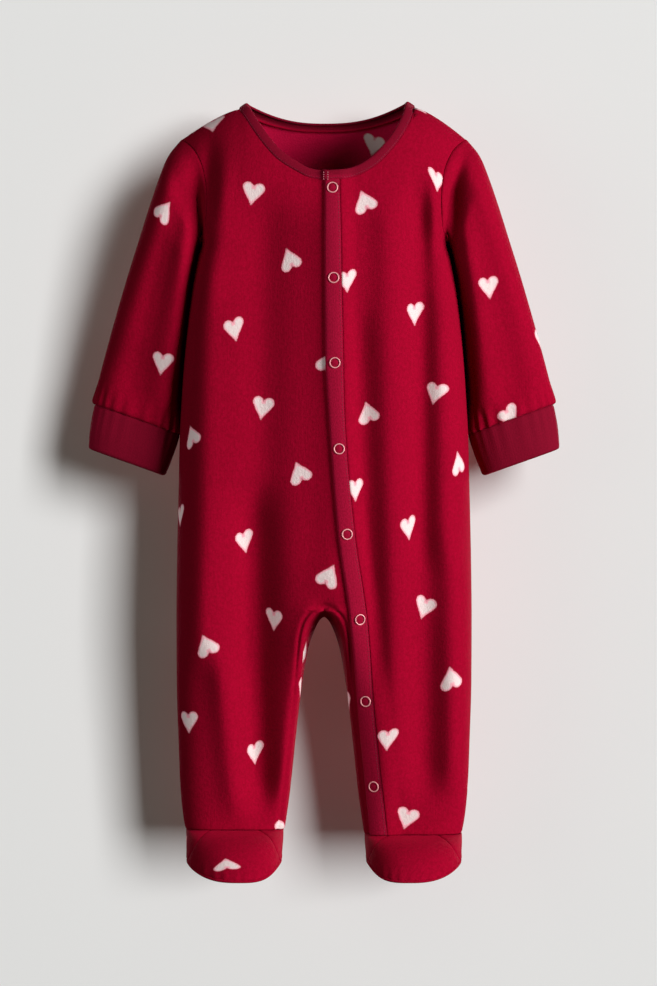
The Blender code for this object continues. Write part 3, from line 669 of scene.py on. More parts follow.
def print_hearts(bm, hearts):
    """Prints hearts on a panel: every face learns where it lies on the heart nearest to it, if one is near.
    Every corner learns how far it faces along x too, for the shade painted on the fleece where it faces the
    wearer's right.

    A heart is a point, its tilt and that of its lobes in degrees, and at times its width and height. A point
    with y at SEEN before or behind the suit is carried straight to the cloth, any other to the cloth nearest.
    """
    printed, slope = bm.loops.layers.uv.new("hearts"), bm.loops.layers.uv.new("slope")
    bm.normal_update()
    tree = BVHTree.FromBMesh(bm)
    feel = HEART_FEEL * MM
    offs = [Vector(off) for off in ((0, 0, 0), (feel, 0, 0), (-feel, 0, 0), (0, 0, feel), (0, 0, -feel))]
    stamps = []
    for point, (tilt, lobes), *size in hearts:
        wide, tall = size or (HEART_WIDE, HEART_TALL)
        start = Vector(point) * MM
        around = [start + off for off in offs]
        if abs(point[1]) >= SEEN:
            aim = Vector((0, -math.copysign(1, point[1]), 0))
            found = [tree.ray_cast(origin, aim)[:2] for origin in around]
        else:
            found = [tree.find_nearest(origin)[:2] for origin in around]
        spot = found[0][0] if abs(point[1]) >= SEEN else start
        out = sum((normal for _, normal in found if normal), Vector()).normalized()
        right = Vector((0, 0, 1)).cross(out).normalized()
        up = out.cross(right)
        tilt, lobes = math.radians(tilt), math.radians(lobes)
        square = math.cos(lobes - tilt)
        aside = (right * math.cos(tilt) + up * math.sin(tilt)) * HEART_DRAWN_WIDE / (wide * MM * square)
        upward = (up * math.cos(lobes) - right * math.sin(lobes)) / (tall * MM * square)
        stamps.append((spot, out, aside, upward))
    for face in bm.faces:
        middle = face.calc_center_median()
        near = [((middle - s[0]).length, i) for i, s in enumerate(stamps) if s[1].dot(face.normal) > 0.05]
        far, which = min(near, default=(1.0, 0))
        for loop in face.loops:
            loop[slope].uv = (loop.vert.normal.x, 0)
            if far > HEART_REACH * MM:
                loop[printed].uv = (5, 5)
            else:
                spot, _, aside, upward = stamps[which]
                loop[printed].uv = ((loop.vert.co - spot).dot(aside), (loop.vert.co - spot).dot(upward))


FLEECE_RED, FLEECE_DEEP = (0.36, 0.0005, 0.022, 1), (0.27, 0.0004, 0.015, 1)
# the last red is painted shade, for slopes that face away from the suit's main lamp
FLEECE_LIGHT, FLEECE_PAINTED_SHADE = (0.48, 0.004, 0.045, 1), (0.12, 0.0002, 0.006, 1)
LOBE_TOP, LOBE_RADIUS, MIDDLE_TOP, MIDDLE_RADIUS = (0.275, 0.28), 0.228, (0.0, 0.08), 0.2
HEART_TIP, TIP_RADIUS = (0.0, -0.47), 0.03
HEART_PALE, HEART_WARM = (0.8, 0.63, 0.615, 1), (0.84, 0.69, 0.675, 1)
HEART_PINK = (0.9, 0.4, 0.46, 1)

fleece = Finish("red_fleece_with_hearts")
spot = object_place(fleece)
fibres = fleece.noise(spot, 1150, 3.0, 0.65)
tufts = fleece.noise(spot, 420, 2.0)
wales = fleece.noise(fleece.stretched(spot, (900, 900, 70)), 1.0, 1.0)
mottle = fleece.noise(spot, 45, 2.0)


def tapered(aside, upward, top, top_radius, tip, tip_radius):
    """How far a point lies outside a rounded stroke that narrows from top to tip."""
    run = (tip[0] - top[0], tip[1] - top[1])
    from_top = (aside - top[0], upward - top[1])
    part = (from_top[0] * run[0] + from_top[1] * run[1]) / (run[0] ** 2 + run[1] ** 2)
    part = part.maths("MINIMUM", part.maths("MAXIMUM", part, 0.0), 1.0)
    off = ((from_top[0] - part * run[0]) ** 2.0 + (from_top[1] - part * run[1]) ** 2.0) ** 0.5
    return off - top_radius - part * (tip_radius - top_radius)


def heart_print(finish, fibres, inner, outer):
    """1 inside a printed heart and 0 outside it, its edge running from inner to outer, blurred by fibres."""
    heart_spot = finish.node("ShaderNodeUVMap", {"uv_map": "hearts"}).outputs[0]
    aside, upward = axes_of(finish, heart_spot, 0, 1)
    # the two halves mirror each other with a soft middle, drawn a little unevenly
    hand_drawn = finish.noise(heart_spot, 2.2, 0.0) - 0.5
    aside = (aside * aside + 0.0035) ** 0.5 + hand_drawn * 0.07
    lobes = tapered(aside, upward, LOBE_TOP, LOBE_RADIUS, HEART_TIP, TIP_RADIUS)
    middle = tapered(aside, upward, MIDDLE_TOP, MIDDLE_RADIUS, HEART_TIP, TIP_RADIUS)
    heart = lobes.maths("SMOOTH_MIN", lobes, middle, 0.12) + (fibres - 0.5) * 0.08
    return 1 - finish.eased(heart, inner, outer)


in_heart = heart_print(fleece, fibres, -0.085, -0.03)
pink_edge = heart_print(fleece, fibres, -0.02, 0.035)

pile = fleece.eased(tufts * 0.5 + fibres * 0.5, 0.36, 0.64)
red = fleece.mixed(pile, FLEECE_DEEP, FLEECE_RED)
# light specks scattered at random: the fleece's lighter fibre tips, partly painted glints
red = fleece.mixed(fleece.eased(fibres, 0.63, 0.8) * 0.55, red, FLEECE_LIGHT)
red = fleece.mixed(fleece.eased(wales, 0.35, 0.65) * 0.25, red, FLEECE_DEEP)
red = fleece.mixed((1 - fleece.eased(mottle, 0.3, 0.7)) * 0.12, red, FLEECE_DEEP)
# painted shade: the red is darker on slopes that face the wearer's right, away from the suit's main lamp
(slope,) = axes_of(fleece, fleece.node("ShaderNodeUVMap", {"uv_map": "slope"}).outputs[0], 0)
red = fleece.mixed((1 - fleece.eased(slope, -0.75, 0.05)) * 0.75, red, FLEECE_PAINTED_SHADE)
pale = fleece.mixed(fleece.eased(fibres, 0.35, 0.65), HEART_PALE, HEART_WARM)
fleece.shade(
    {
        "Base Color": fleece.mixed(in_heart, fleece.mixed(pink_edge, red, HEART_PINK), pale),
        "Roughness": 0.95,
        "Specular IOR Level": 0.05,
        "Sheen Weight": 0.2,
        "Sheen Roughness": 0.4,
        "Sheen Tint": (1.0, 0.01, 0.08, 1),
        "Normal": fleece.bump(fibres * 0.5 + tufts * 0.8 + wales * 0.35, 0.0009, 0.55),
    }
)

# the fleece's knitted back, which shows inside the neck, with the hearts showing through it. Its red is paler
# than the front's, as a knitted back is, and lighter still as painted light where the lamps hardly reach inside
# the neck
fleece_reverse_painted_light = Finish("fleece_reverse_painted_light")
reverse_fibres = fleece_reverse_painted_light.noise(object_place(fleece_reverse_painted_light), 700, 3.0, 0.65)
reverse_red_painted_light = fleece_reverse_painted_light.mixed(reverse_fibres, (0.55, 0.001, 0.04, 1), (0.8, 0.01, 0.08, 1))
shows_through = heart_print(fleece_reverse_painted_light, reverse_fibres, -0.06, 0.06) * 0.95
fleece_reverse_painted_light.shade(
    {
        "Base Color": fleece_reverse_painted_light.mixed(shows_through, reverse_red_painted_light, (0.95, 0.78, 0.72, 1)),
        "Roughness": 0.95,
        "Specular IOR Level": 0.05,
        "Sheen Weight": 0.3,
        "Sheen Tint": (1.0, 0.05, 0.15, 1),
        "Normal": fleece_reverse_painted_light.bump(reverse_fibres, 0.0008, 0.5),
    }
)


def sewn(*grids, hearts=None, weld=True, **seams):
    """A panel's mesh: its grids of cloth joined up, printed with hearts, and its sewn edges turned under."""
    bm = bmesh.new()
    for rows in grids:
        lay_cloth(bm, rows)
    if weld:
        bmesh.ops.remove_doubles(bm, verts=bm.verts, dist=WELD * MM)
    if hearts is not None:
        print_hearts(bm, hearts)
    turn_under(bm, **seams)
    return bm


def made_up(name, bm, finish, nodes, wall=WALL, reverse=None, shades=True):
    """A finished panel, given its thickness inwards, riding with the suit in place of its plain solids."""
    mesh = bpy.data.meshes.new(name)
    bm.to_mesh(mesh)
    bm.free()
    mesh.shade_smooth()
    mesh.materials.append(finish.material)
    if reverse:
        mesh.materials.append(reverse.material)
    piece = bpy.data.objects.new(name, mesh)
    bpy.context.scene.collection.objects.link(piece)
    lit_suit.objects.link(piece)
    if shades:
        shades_wall.objects.link(piece)
    if wall:
        thickness = piece.modifiers.new("thickness", "SOLIDIFY")
        thickness.thickness = wall * MM
        thickness.offset = -1
        thickness.material_offset = 1 if reverse else 0
    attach(piece, "root")
    if nodes:
        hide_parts(*nodes)
    return piece


def inner_leg(spot):
    """True on the lower edges between the legs, where front and back meet in one smooth round."""
    return spot.z < FRONT_GAP.at[0] and abs(spot.x) < leg_gap(BACK, spot.z) + 1.0 and abs(spot.y) < 0.5


# the back's hearts: x, z and the way each points; the first lies on the gusset
BACK_HEARTS = [((-16.3, -27, -451), UP)]
for x, z, way in (
    (-84, -52, DOWN), (-36, -62, UP), (41, -31, LEANING), (78, -70, UP),
    (50, -110, DOWN), (-6, -116, DOWN), (-62, -122, LEANING), (-96, -176, UP),
    (-28, -178, UP), (30, -172, LEANING), (90, -160, DOWN), (-66, -236, DOWN),
    (4, -236, DOWN), (64, -226, UP), (-104, -290, LEANING), (-34, -300, UP),
    (36, -292, DOWN), (100, -284, LEANING), (-70, -362, UP), (0, -358, LEANING),
    (70, -350, DOWN), (-36, -420, DOWN), (38, -416, UP), (106, -408, UP),
    (-98, -432, DOWN), (-60, -486, LEANING), (72, -478, LEANING), (-104, -540, UP),
    (-52, -556, DOWN), (50, -536, DOWN), (102, -556, UP),
):
    BACK_HEARTS.append(((x, SEEN, z), way))

back_grids = half(RIGHT, BACK), half(LEFT, BACK), gusset(RIGHT), gusset(LEFT)
bm = sewn(*back_grids, hearts=BACK_HEARTS, stays=inner_leg)
back = made_up("back_panel", bm, fleece, ["back"], reverse=fleece_reverse_painted_light)

# --- the right front -------------------------------------------------------------------------------------
# The wearer's right front in the same fleece. It goes on past the middle as the underlap that the snap band
# closes over, and down the inside of the left leg. A row of stitches holds the inner-leg seam flat, so a
# narrow groove runs round the crotch just in front of its edge.

GROOVE_OFF, GROOVE_HALF, GROOVE_DEEP, GROOVE_REACH = 4.6, 1.3, 1.8, 12.0
CROTCH_EDGE = [Vector((leg_gap(FRONT, z), z)) for z in (CROTCH_Z[FRONT] - 0.4 * i for i in range(90))]
# the snap band's two edges
BAND = Rows(
    "z near far",
    (-605, 39, 52.6),
    (-509, 29.5, 43.2),
    (-425, 20.4, 34.2),
    (-354, 10.8, 23.8),
    (-261, 3.6, 16),
    (-214, 0.9, 14.7),
    (-144, 0.1, 13.7),
    (-60, -0.4, 12.5),
)
UNDERLAP_SHORT, ON_FRONT_Y = 0.8, -8
UNDERLAP_COLUMNS, UNDER_BAND_COLUMNS = 24, 3


def crotch_groove(x, z):
    """How far the stitched inner-leg seam sinks the front, by its distance from the edge."""
    x = abs(x)
    if z > CROTCH_Z[FRONT] + GROOVE_REACH or x > leg_gap(FRONT, z) + GROOVE_REACH:
        return 0.0
    if z < CROTCH_EDGE[-1].y + 6:
        off = x - leg_gap(FRONT, z)
    else:
        off = min((Vector((x, z)) - spot).length for spot in CROTCH_EDGE)
    return GROOVE_DEEP * math.exp(-(((off - GROOVE_OFF) / GROOVE_HALF) ** 2))


def share_at(side, face, x, level):
    """The share at which a row reaches a given x."""
    low, high = 0.0, 1.0
    for _ in range(30):
        middle = (low + high) / 2
        if side * place(side, face, middle, level)[0] > side * x:
            low = middle
        else:
            high = middle
    return low


def band_share(name, level, further=0.0):
    """The share at which a row of the left front meets an edge of the snap band."""
    z = place(LEFT, FRONT, 0.95, level)[1]
    return share_at(LEFT, FRONT, BAND.read(name, z) + further, level)


def underlap():
    """From the middle line, or the left leg's inner seam, to the edge that lies under the snap band."""
    rows = []
    for level in levels(LEFT, FRONT):
        near, far = band_share("near", level), band_share("far", level, -UNDERLAP_SHORT)
        inner = [(i / UNDERLAP_COLUMNS) ** INNER_CLOSER for i in range(UNDERLAP_COLUMNS + 1)]
        stops = [lerp(1.0, near, t) for t in inner]
        stops += [lerp(near, far, (i + 1) / UNDER_BAND_COLUMNS) for i in range(UNDER_BAND_COLUMNS)]
        rows.append([cloth(FRONT, *place(LEFT, FRONT, stop, level)) for stop in stops])
    return rows


def stitched_crotch(rows):
    """Sinks a front's cloth along the stitched inner-leg seam."""
    for row in rows:
        for spot in row:
            sunk = crotch_groove(spot.x, spot.z)
            if sunk > 0.01:
                spot -= outward(FRONT, spot.x, spot.z) * sunk
    return rows


def unsewn_right(spot):
    """True where the right front's edge isn't turned under: between the legs and under the band."""
    under_band = BAND.read("far", spot.z) > spot.x > BAND.read("near", spot.z) and spot.y < ON_FRONT_Y
    return inner_leg(spot) or under_band


RIGHT_HEARTS = (
    ((-91.5, -SEEN, -17.5), (28, 28), 16, 19),
    ((-58, -SEEN, -77), DOWN, 14, 17.9),
    ((-28, -SEEN, -130), UP, 13.8, 17.5),
    ((-73, -SEEN, -188), LEANING, 13.1, 18.1),
    ((-50, -SEEN, -252), DOWN, 13.5, 18.2),
    ((4, -SEEN, -214), UP_LEANING, 13.9, 18.9),
    ((-108, -SEEN, -274), (200, 210), 14.4, 16.5),
    ((-20, -SEEN, -304), UP, 14.7, 16.9),
    ((-118, -SEEN, -340), (5, 15), 13, 16.8),
    ((-65, -SEEN, -361), LEANING, 13, 17.6),
    ((4, -SEEN, -388), UP_LEANING, 14.3, 18.9),
    ((-41, -SEEN, -425), (-5, -15), 12.8, 17.6),
    ((-96, -SEEN, -445), UP, 14.8, 17.3),
    ((-111, -SEEN, -509), (0, 0), 13.6, 17.5),
    ((-57, -SEEN, -535), (5, 20), 12, 17.7),
    ((-20, -20.5, -480), (10, 10)),
    ((19.5, -14, -492), DOWN),
    ((-35, -12, -598), (100, 100)),
)
right_grids = stitched_crotch(half(RIGHT, FRONT)), stitched_crotch(underlap())
bm = sewn(*right_grids, hearts=RIGHT_HEARTS, stays=unsewn_right)
front_right = made_up("front_right_panel", bm, fleece, ["front_right"])

# --- the left front --------------------------------------------------------------------------------------
# The wearer's left front, in the same fleece, from the side seam to the far edge of the snap band. Its edge
# stands up as high as the band that is sewn to it.

BAND_LIFT, BAND_RAMP = 3.5, 14.0


def ramp(x, z):
    """How far the left front is lifted beside the snap band that it carries."""
    return BAND_LIFT * (1 - ease((x - BAND.read("far", z)) / BAND_RAMP))


LEFT_HEARTS = (
    ((80, -6, 0), DOWN),
    ((33, -SEEN, -83), UP, 14.8, 17.3),
    ((92, -SEEN, -66), (0, -30), 12, 17.9),
    ((19, -SEEN, -149), (0, 15), 13.4, 17.3),
    ((74, -SEEN, -175), (0, 10), 13.2, 18.1),
    ((91, -SEEN, -240), (-15, -10), 13.6, 17.5),
    ((36, -SEEN, -255), (195, 200), 13.8, 16.9),
    ((110, -SEEN, -296), (190, 200), 14, 18),
    ((22, -50, -319), (0, 10), 12.6, 17.5),
    ((69, -SEEN, -350), (5, 20), 13, 18.2),
    ((82, -SEEN, -415), (-15, -20), 13.4, 18),
    ((104, -SEEN, -472), (190, 200), 14.3, 18.2),
    ((52, -SEEN, -523), (-5, 10), 13.4, 17.1),
    ((68, -SEEN, -588), (-15, -15), 14.1, 17.3),
    ((119, -3, -555), UP),
)
left_grid = half(LEFT, FRONT, lambda level: band_share("far", level, SEAM), ramp)
bm = sewn(left_grid, hearts=LEFT_HEARTS, weld=False)
front_left = made_up("front_left_panel", bm, fleece, ["front_left"])

# --- the snap band ---------------------------------------------------------------------------------------
# A folded strip of plain cotton jersey over the underlap from the neck to the left ankle. Its right edge is
# free; its left edge is sewn to the left front and topstitched. The cloth stands up a little in each snap.

BAND_WALL = 1.6
BAND_COLUMNS, BAND_FINER = 14, 1.6
SNAP_HEIGHTS = (-72.4, -145.8, -215.0, -285.0, -354.4, -423.6, -490.9, -560.9)
SNAP_SHARE, RING_RADIUS = 0.56, 4.05
SNAP_REACH, SNAP_PRESS, PRESS_HALF, SNAP_DOME, DOME_INSIDE = 8.0, 0.7, 1.3, 0.55, 0.6
FREE_EDGE_DROP, FREE_EDGE_ROUND, BAND_SLACK, STITCH_DIP = 0.5, 0.06, 0.35, 0.3
JERSEY_RED, JERSEY_DEEP = (0.33, 0.0016, 0.028, 1), (0.24, 0.0006, 0.018, 1)
# the last red is painted shade, for the cuffs and the neck binding
JERSEY_LIGHT, JERSEY_PAINTED_SHADE = (0.44, 0.005, 0.045, 1), (0.13, 0.0006, 0.01, 1)

jersey = Finish("plain_red_jersey")
spot = object_place(jersey)
knit = jersey.node("ShaderNodeUVMap", {"uv_map": "knit"}).outputs[0]
loops = jersey.noise(jersey.stretched(knit, (1100, 620, 1)), 1.0, 1.0)
lines = jersey.noise(jersey.stretched(knit, (900, 30, 1)), 1.0, 1.0)
fuzz = jersey.noise(spot, 900, 2.0, 0.6)
red = jersey.mixed(jersey.eased(loops, 0.3, 0.7), JERSEY_DEEP, JERSEY_RED)
red = jersey.mixed(jersey.eased(fuzz, 0.55, 0.8) * 0.5, red, JERSEY_LIGHT)
# painted shade: the cuffs and the neck binding are drawn a deeper red than the snap band, darkening them as
# shade in their ribs would
from_middle, height = axes_of(jersey, spot, 0, 2)
in_cuff = jersey.eased(from_middle * from_middle, 0.1**2, 0.115**2)
in_binding = jersey.eased(height, -0.064, -0.06)
red = jersey.mixed((in_cuff + in_binding) * 0.6, red, JERSEY_PAINTED_SHADE)
jersey.shade(
    {
        "Base Color": jersey.mixed(jersey.eased(lines, 0.4, 0.75) * 0.3, red, JERSEY_DEEP),
        "Roughness": 0.9,
        "Specular IOR Level": 0.1,
        "Sheen Weight": 0.15,
        "Sheen Roughness": 0.4,
        "Sheen Tint": (1.0, 0.05, 0.12, 1),
        "Normal": jersey.bump(loops * 0.7 + lines * 0.5 + fuzz * 0.3, 0.0006, 0.5),
    }
)


def snap_x(z):
    """Where the snaps stand across the band, a little past its middle."""
    return lerp(BAND.read("near", z), BAND.read("far", z), SNAP_SHARE)


def in_snap(x, z):
    """How far the band's cloth is pressed down under a snap's ring, or stands up inside it."""
    for snap_z in SNAP_HEIGHTS:
        off = math.hypot(x - snap_x(snap_z), z - snap_z)
        if off < SNAP_REACH:
            under_ring = -SNAP_PRESS * math.exp(-(((off - RING_RADIUS) / PRESS_HALF) ** 2))
            return under_ring + SNAP_DOME * max(0.0, 1 - (off / (RING_RADIUS - DOME_INSIDE)) ** 2)
    return 0.0


def band_lift(t, x, z):
    """The band's height over the underlap: round at its free edge, slack in the middle, held at its seam."""
    edge = 1 - FREE_EDGE_DROP * math.exp(-t / FREE_EDGE_ROUND)
    stitched = STITCH_DIP * math.exp(-(((1 - t) / 0.1 - 1) ** 2))
    return BAND_LIFT * edge + BAND_SLACK * math.sin(math.pi * t) - stitched + in_snap(x, z)


rows = []
for level in levels(LEFT, FRONT, finer=BAND_FINER):
    near, far = band_share("near", level), band_share("far", level)
    row = []
    for i in range(BAND_COLUMNS + 1):
        t = i / BAND_COLUMNS
        x, z = place(LEFT, FRONT, lerp(near, far, t), level)
        row.append(cloth(FRONT, x, z, band_lift(t, x, z)))
    rows.append(row)
bm = sewn(rows, weld=False, sink=0.5)
snap_band = made_up("snap_band", bm, jersey, ["placket"], BAND_WALL)


def thread_finish(name, deep, light):
    """Twisted sewing thread."""
    finish = Finish(name)
    twist = finish.noise(object_place(finish), 2600, 1.0)
    colour, relief = finish.mixed(twist, deep, light), finish.bump(twist, 0.0002, 0.5)
    finish.shade({"Base Color": colour, "Roughness": 0.6, "Normal": relief})
    return finish


red_thread = thread_finish("red_thread", (0.14, 0.0, 0.015, 1), (0.26, 0.008, 0.04, 1))


def stitches(name, spots, pitch, length, radius, finish=red_thread):
    """A row of thread laid over points that raised() gives, a stitch at every pitch."""
    bm = bmesh.new()
    run = 0.0
    for (here, out), (there, _) in zip(spots, spots[1:]):
        step = (there - here).length
        while run < step:
            along = (there - here).normalized()
            side = out.cross(along).normalized()
            turned = Matrix((along, side, out)).transposed().to_4x4()
            at = Matrix.Translation((here + along * run) * MM)
            size = Matrix.Diagonal((length / 2 * MM, radius * MM, radius * MM, 1))
            bmesh.ops.create_uvsphere(bm, u_segments=6, v_segments=5, radius=1, matrix=at @ turned @ size)
            run += pitch
        run -= step
    return made_up(name, bm, finish, [], 0)


def band_line(t, lift):
    """Points down the band at one share of its width, lifted off its cloth."""
    spots = []
    for level in levels(LEFT, FRONT)[1:-1]:
        near, far = band_share("near", level), band_share("far", level)
        x, z = place(LEFT, FRONT, lerp(near, far, t), level)
        spots.append(raised(FRONT, x, z, lift + band_lift(t, x, z)))
    return spots


stitches("snap_band_topstitch", band_line(0.9, 0.02), 2.2, 1.5, 0.24)

# --- the neck binding ------------------------------------------------------------------------------------
# A folded band of the same jersey round the neck, sewn over the panels' edge, its left end lapped over its
# right at the snap band and held by a small bar of pale pink thread.

BINDING_PULL = 65.7 / 72.5
BINDING_RISE, BINDING_LEAN = 4.4, 0.045
BINDING_CROWN = 0.7
BINDING_STEPS, UNDER_STATIONS, STITCH_RISE = 9, 9, 0.16


def binding_spot(face, x, rise, lifted):
    """A place on the binding and its outward direction: rise is 0 at its seam and 1 at the neck's opening."""
    off = x - NECK_MIDDLE_X
    z = neck_z(face, x)
    seam_up = BINDING_RISE + BINDING_LEAN * abs(z)
    length = math.hypot(off * (1 - BINDING_PULL), seam_up)
    crown = BINDING_CROWN * math.sqrt(max(0.0, 1 - (2 * rise - 1) ** 2))
    rise = lerp(-0.4 / length, 1.0, rise)
    x -= off * (1 - BINDING_PULL) * rise
    z += seam_up * rise
    lift = crown + (ramp(x, z) if lifted else 0.0)
    if abs(abs(off) - NECK_REACH) < 0.01:
        out = Vector((math.copysign(0.35, off), 0, 1)).normalized()
        return Vector((x, 0, z)) + out * lift, out
    return raised(face, x, z, lift)


def binding_stations():
    """Where the binding's columns stand, from its under end round the back to its upper end."""
    near, far = band_share("near", 0.0), band_share("far", 0.0)
    half_way = shares(1.0)[OUTER_COLUMNS:]
    right_end, left_end = band_share("far", 0.0, -UNDERLAP_SHORT), band_share("far", 0.0, SEAM)
    under = [(LEFT, FRONT, lerp(right_end, near, i / 4), False) for i in range(4)]
    under += [(LEFT, FRONT, lerp(near, 1.0, i / 3), False) for i in range(3)]
    right = [(RIGHT, FRONT, share, False) for share in reversed(half_way)]
    behind = [(RIGHT, BACK, share, False) for share in half_way[1:]]
    behind += [(LEFT, BACK, share, False) for share in reversed(half_way[1:-1])]
    left = [(LEFT, FRONT, share, True) for share in shares(left_end)[OUTER_COLUMNS:-1]]
    left += [(LEFT, FRONT, lerp(far, near, i / 6), True) for i in range(7)]
    return under + right + behind + left


def binding_line(rise, stations):
    """The binding's line at one height between its seam and the neck's opening."""
    line = []
    for side, face, share, lifted in stations:
        line.append(binding_spot(face, place(side, face, share, 0.0)[0], rise, lifted))
    return line


stations = binding_stations()
rises = [i / BINDING_STEPS for i in range(BINDING_STEPS + 1)]
rows = [[spot for spot, _ in binding_line(rise, stations)][::-1] for rise in rises]
bm = sewn(rows, weld=False, sink=0.3, turn=1.2)
binding = made_up("neck_binding_band", bm, jersey, ["neck_binding"], BAND_WALL)

shown = binding_line(STITCH_RISE, stations[UNDER_STATIONS:])
seam_side = [(spot + out * 0.05, out) for spot, out in shown]
stitches("neck_binding_stitches", seam_side, 2.2, 1.5, 0.22)

pale_thread = thread_finish("pale_pink_thread", (0.6, 0.12, 0.18, 1), (0.8, 0.3, 0.35, 1))
for number, x in enumerate((-0.2, 3.2), start=1):
    spots = [raised(FRONT, x, z, BAND_LIFT + 1.0) for z in (-60.5, -64.0, -67.5)]
    stitches(f"neck_binding_bar_{number}", spots, 1.9, 1.3, 0.32, pale_thread)

# --- the sleeves -----------------------------------------------------------------------------------------
# Two tubes of the same fleece, sewn into the armholes with their edges turned under, and gathered a little
# where the cuffs hold them in. Each has a deep crease in front, beside its armhole.

# the sleeve's rings: the outer and inner ends of each, half its depth, its middle
SLEEVE = Rows(
    "v outer_x outer_z inner_x inner_z depth middle",
    (0, 117, -28.5, 101, -115.5, 28, -1),
    (0.1, 128.5, -43.5, 100.6, -118.5, 31, -3),
    (0.2, 136.3, -63, 102, -124, 32, -6),
    (0.3, 143.5, -84, 104.2, -134, 31.5, -6),
    (0.4, 151.5, -109, 107.2, -150, 30, -4),
    (0.55, 162.5, -143.5, 110.2, -176, 28, 0),
    (0.7, 173.3, -180, 113, -205, 26, 4),
    (0.85, 182.8, -214, 115.8, -238, 23.5, 8),
    (1, 191, -246.5, 118, -272.3, 21, 8),
)
HEAD_SHARE, FLATNESS = 0.22, 0.82
GATHERS, GATHER_DEEP, GATHER_FROM = 23, 0.9, 0.9
SLEEVE_COLUMNS, SLEEVE_ROWS = 128, 90
# the sleeve's folds: angle from the outer edge at the top and at the bottom, half width in degrees, rise
SLEEVE_FOLDS = (
    (85, 80, 20, -3),
    (122, 116, 18, 5.5),
    (158, 165, 16, -3),
    (250, 240, 22, 2.5),
    (300, 295, 18, -2.5),
)
# the crease in each sleeve's front, by its height
CREASE = Rows(
    "z right left deep",
    (-262, 124, 130, 0),
    (-228, 115, 123, 3),
    (-195, 109, 119, 6),
    (-162, 105, 115, 8),
    (-129, 103.5, 109, 11),
    (-104, 101, 105.5, 12.5),
    (-79, 100.5, 105.5, 12.5),
    (-55, 100, 110, 6),
    (-32, 106, 116, 0),
)
CREASE_HALF = 7.5


def squared_off(part, power):
    """A sine or cosine drawn out towards its ends, for rings squarer than an oval."""
    return math.copysign(abs(part) ** power, part)


def ring_point(table, v, angle):
    """A point on one of a tube's oval rings: angle 0 is the outer edge, 90 the front, 180 the inner edge."""
    outer = Vector((table.read("outer_x", v), 0, table.read("outer_z", v)))
    inner = Vector((table.read("inner_x", v), 0, table.read("inner_z", v)))
    centre = (outer + inner) / 2 + Vector((0, table.read("middle", v), 0))
    forward = Vector((0, -table.read("depth", v), 0))
    aside, ahead = squared_off(math.cos(angle), FLATNESS), squared_off(math.sin(angle), FLATNESS)
    return centre + (outer - inner) / 2 * aside + forward * ahead


def moved_out(table, v, point, by):
    """A point of a ring, moved out from the ring's middle."""
    centre = (ring_point(table, v, 0.0) + ring_point(table, v, math.pi)) / 2
    return point + (point - centre).normalized() * by


def gathers(angle):
    """The wave of the gathers round a sleeve's end and its cuff."""
    return math.sin(GATHERS * angle + 0.8 * math.sin(2 * angle))


def armhole_point(side, angle):
    """The armhole's edge on the body, by the same angle as the sleeve's rings, in the left sleeve's frame."""
    z = lerp(ARMPIT_Z, SHOULDER_TIP_Z, (1 + math.cos(angle)) / 2)
    x = ARMHOLE.read("x", z)
    return Vector((x, depth(FRONT if math.sin(angle) > 0 else BACK, side * x, z), z))


def sleeve_fold(v, angle):
    """How far folds and gathers move the sleeve's cloth out."""
    degrees = math.degrees(angle) % 360
    total = 0.0
    for top, bottom, half_width, rise in SLEEVE_FOLDS:
        total += rise * math.exp(-(((degrees - lerp(top, bottom, v)) / half_width) ** 2))
    gathered = ease((v - GATHER_FROM) / (1 - GATHER_FROM))
    uneven = 1 + 0.5 * math.sin(3 * angle + 1.3)
    pucker = GATHER_DEEP * uneven * gathered * gathers(angle)
    return total * ease(v / 0.14) * ease((1 - v) / 0.12) + pucker


def sleeve_point(side, v, angle):
    """The sleeve's surface: the armhole's own edge at the top, easing into oval rings."""
    point = ring_point(SLEEVE, v, angle)
    blend = max(0.0, 1 - v / HEAD_SHARE) ** 2
    if blend:
        point += (armhole_point(side, angle) - ring_point(SLEEVE, 0.0, angle)) * blend
    point = moved_out(SLEEVE, v, point, sleeve_fold(v, angle))
    off = (point.x - CREASE.read("right" if side == RIGHT else "left", point.z)) / CREASE_HALF
    crease = CREASE.read("deep", point.z) * ease(v / 0.06) * max(0.0, math.sin(angle)) ** 0.5
    return point + Vector((0, crease * math.exp(-off * off), 0))


def tube(side, point_at, columns, rows):
    """Rows of points round a tube on one side of the suit, run so that it faces outwards."""
    made = []
    for i in range(rows + 1):
        v = lerp(i / rows, ease(i / rows), 0.5)
        ring = [point_at(v, 2 * math.pi * j / columns) for j in range(columns + 1)]
        made.append([Vector((side * spot.x, spot.y, spot.z)) for spot in ring])
    return made if side == LEFT else [row[::-1] for row in made]


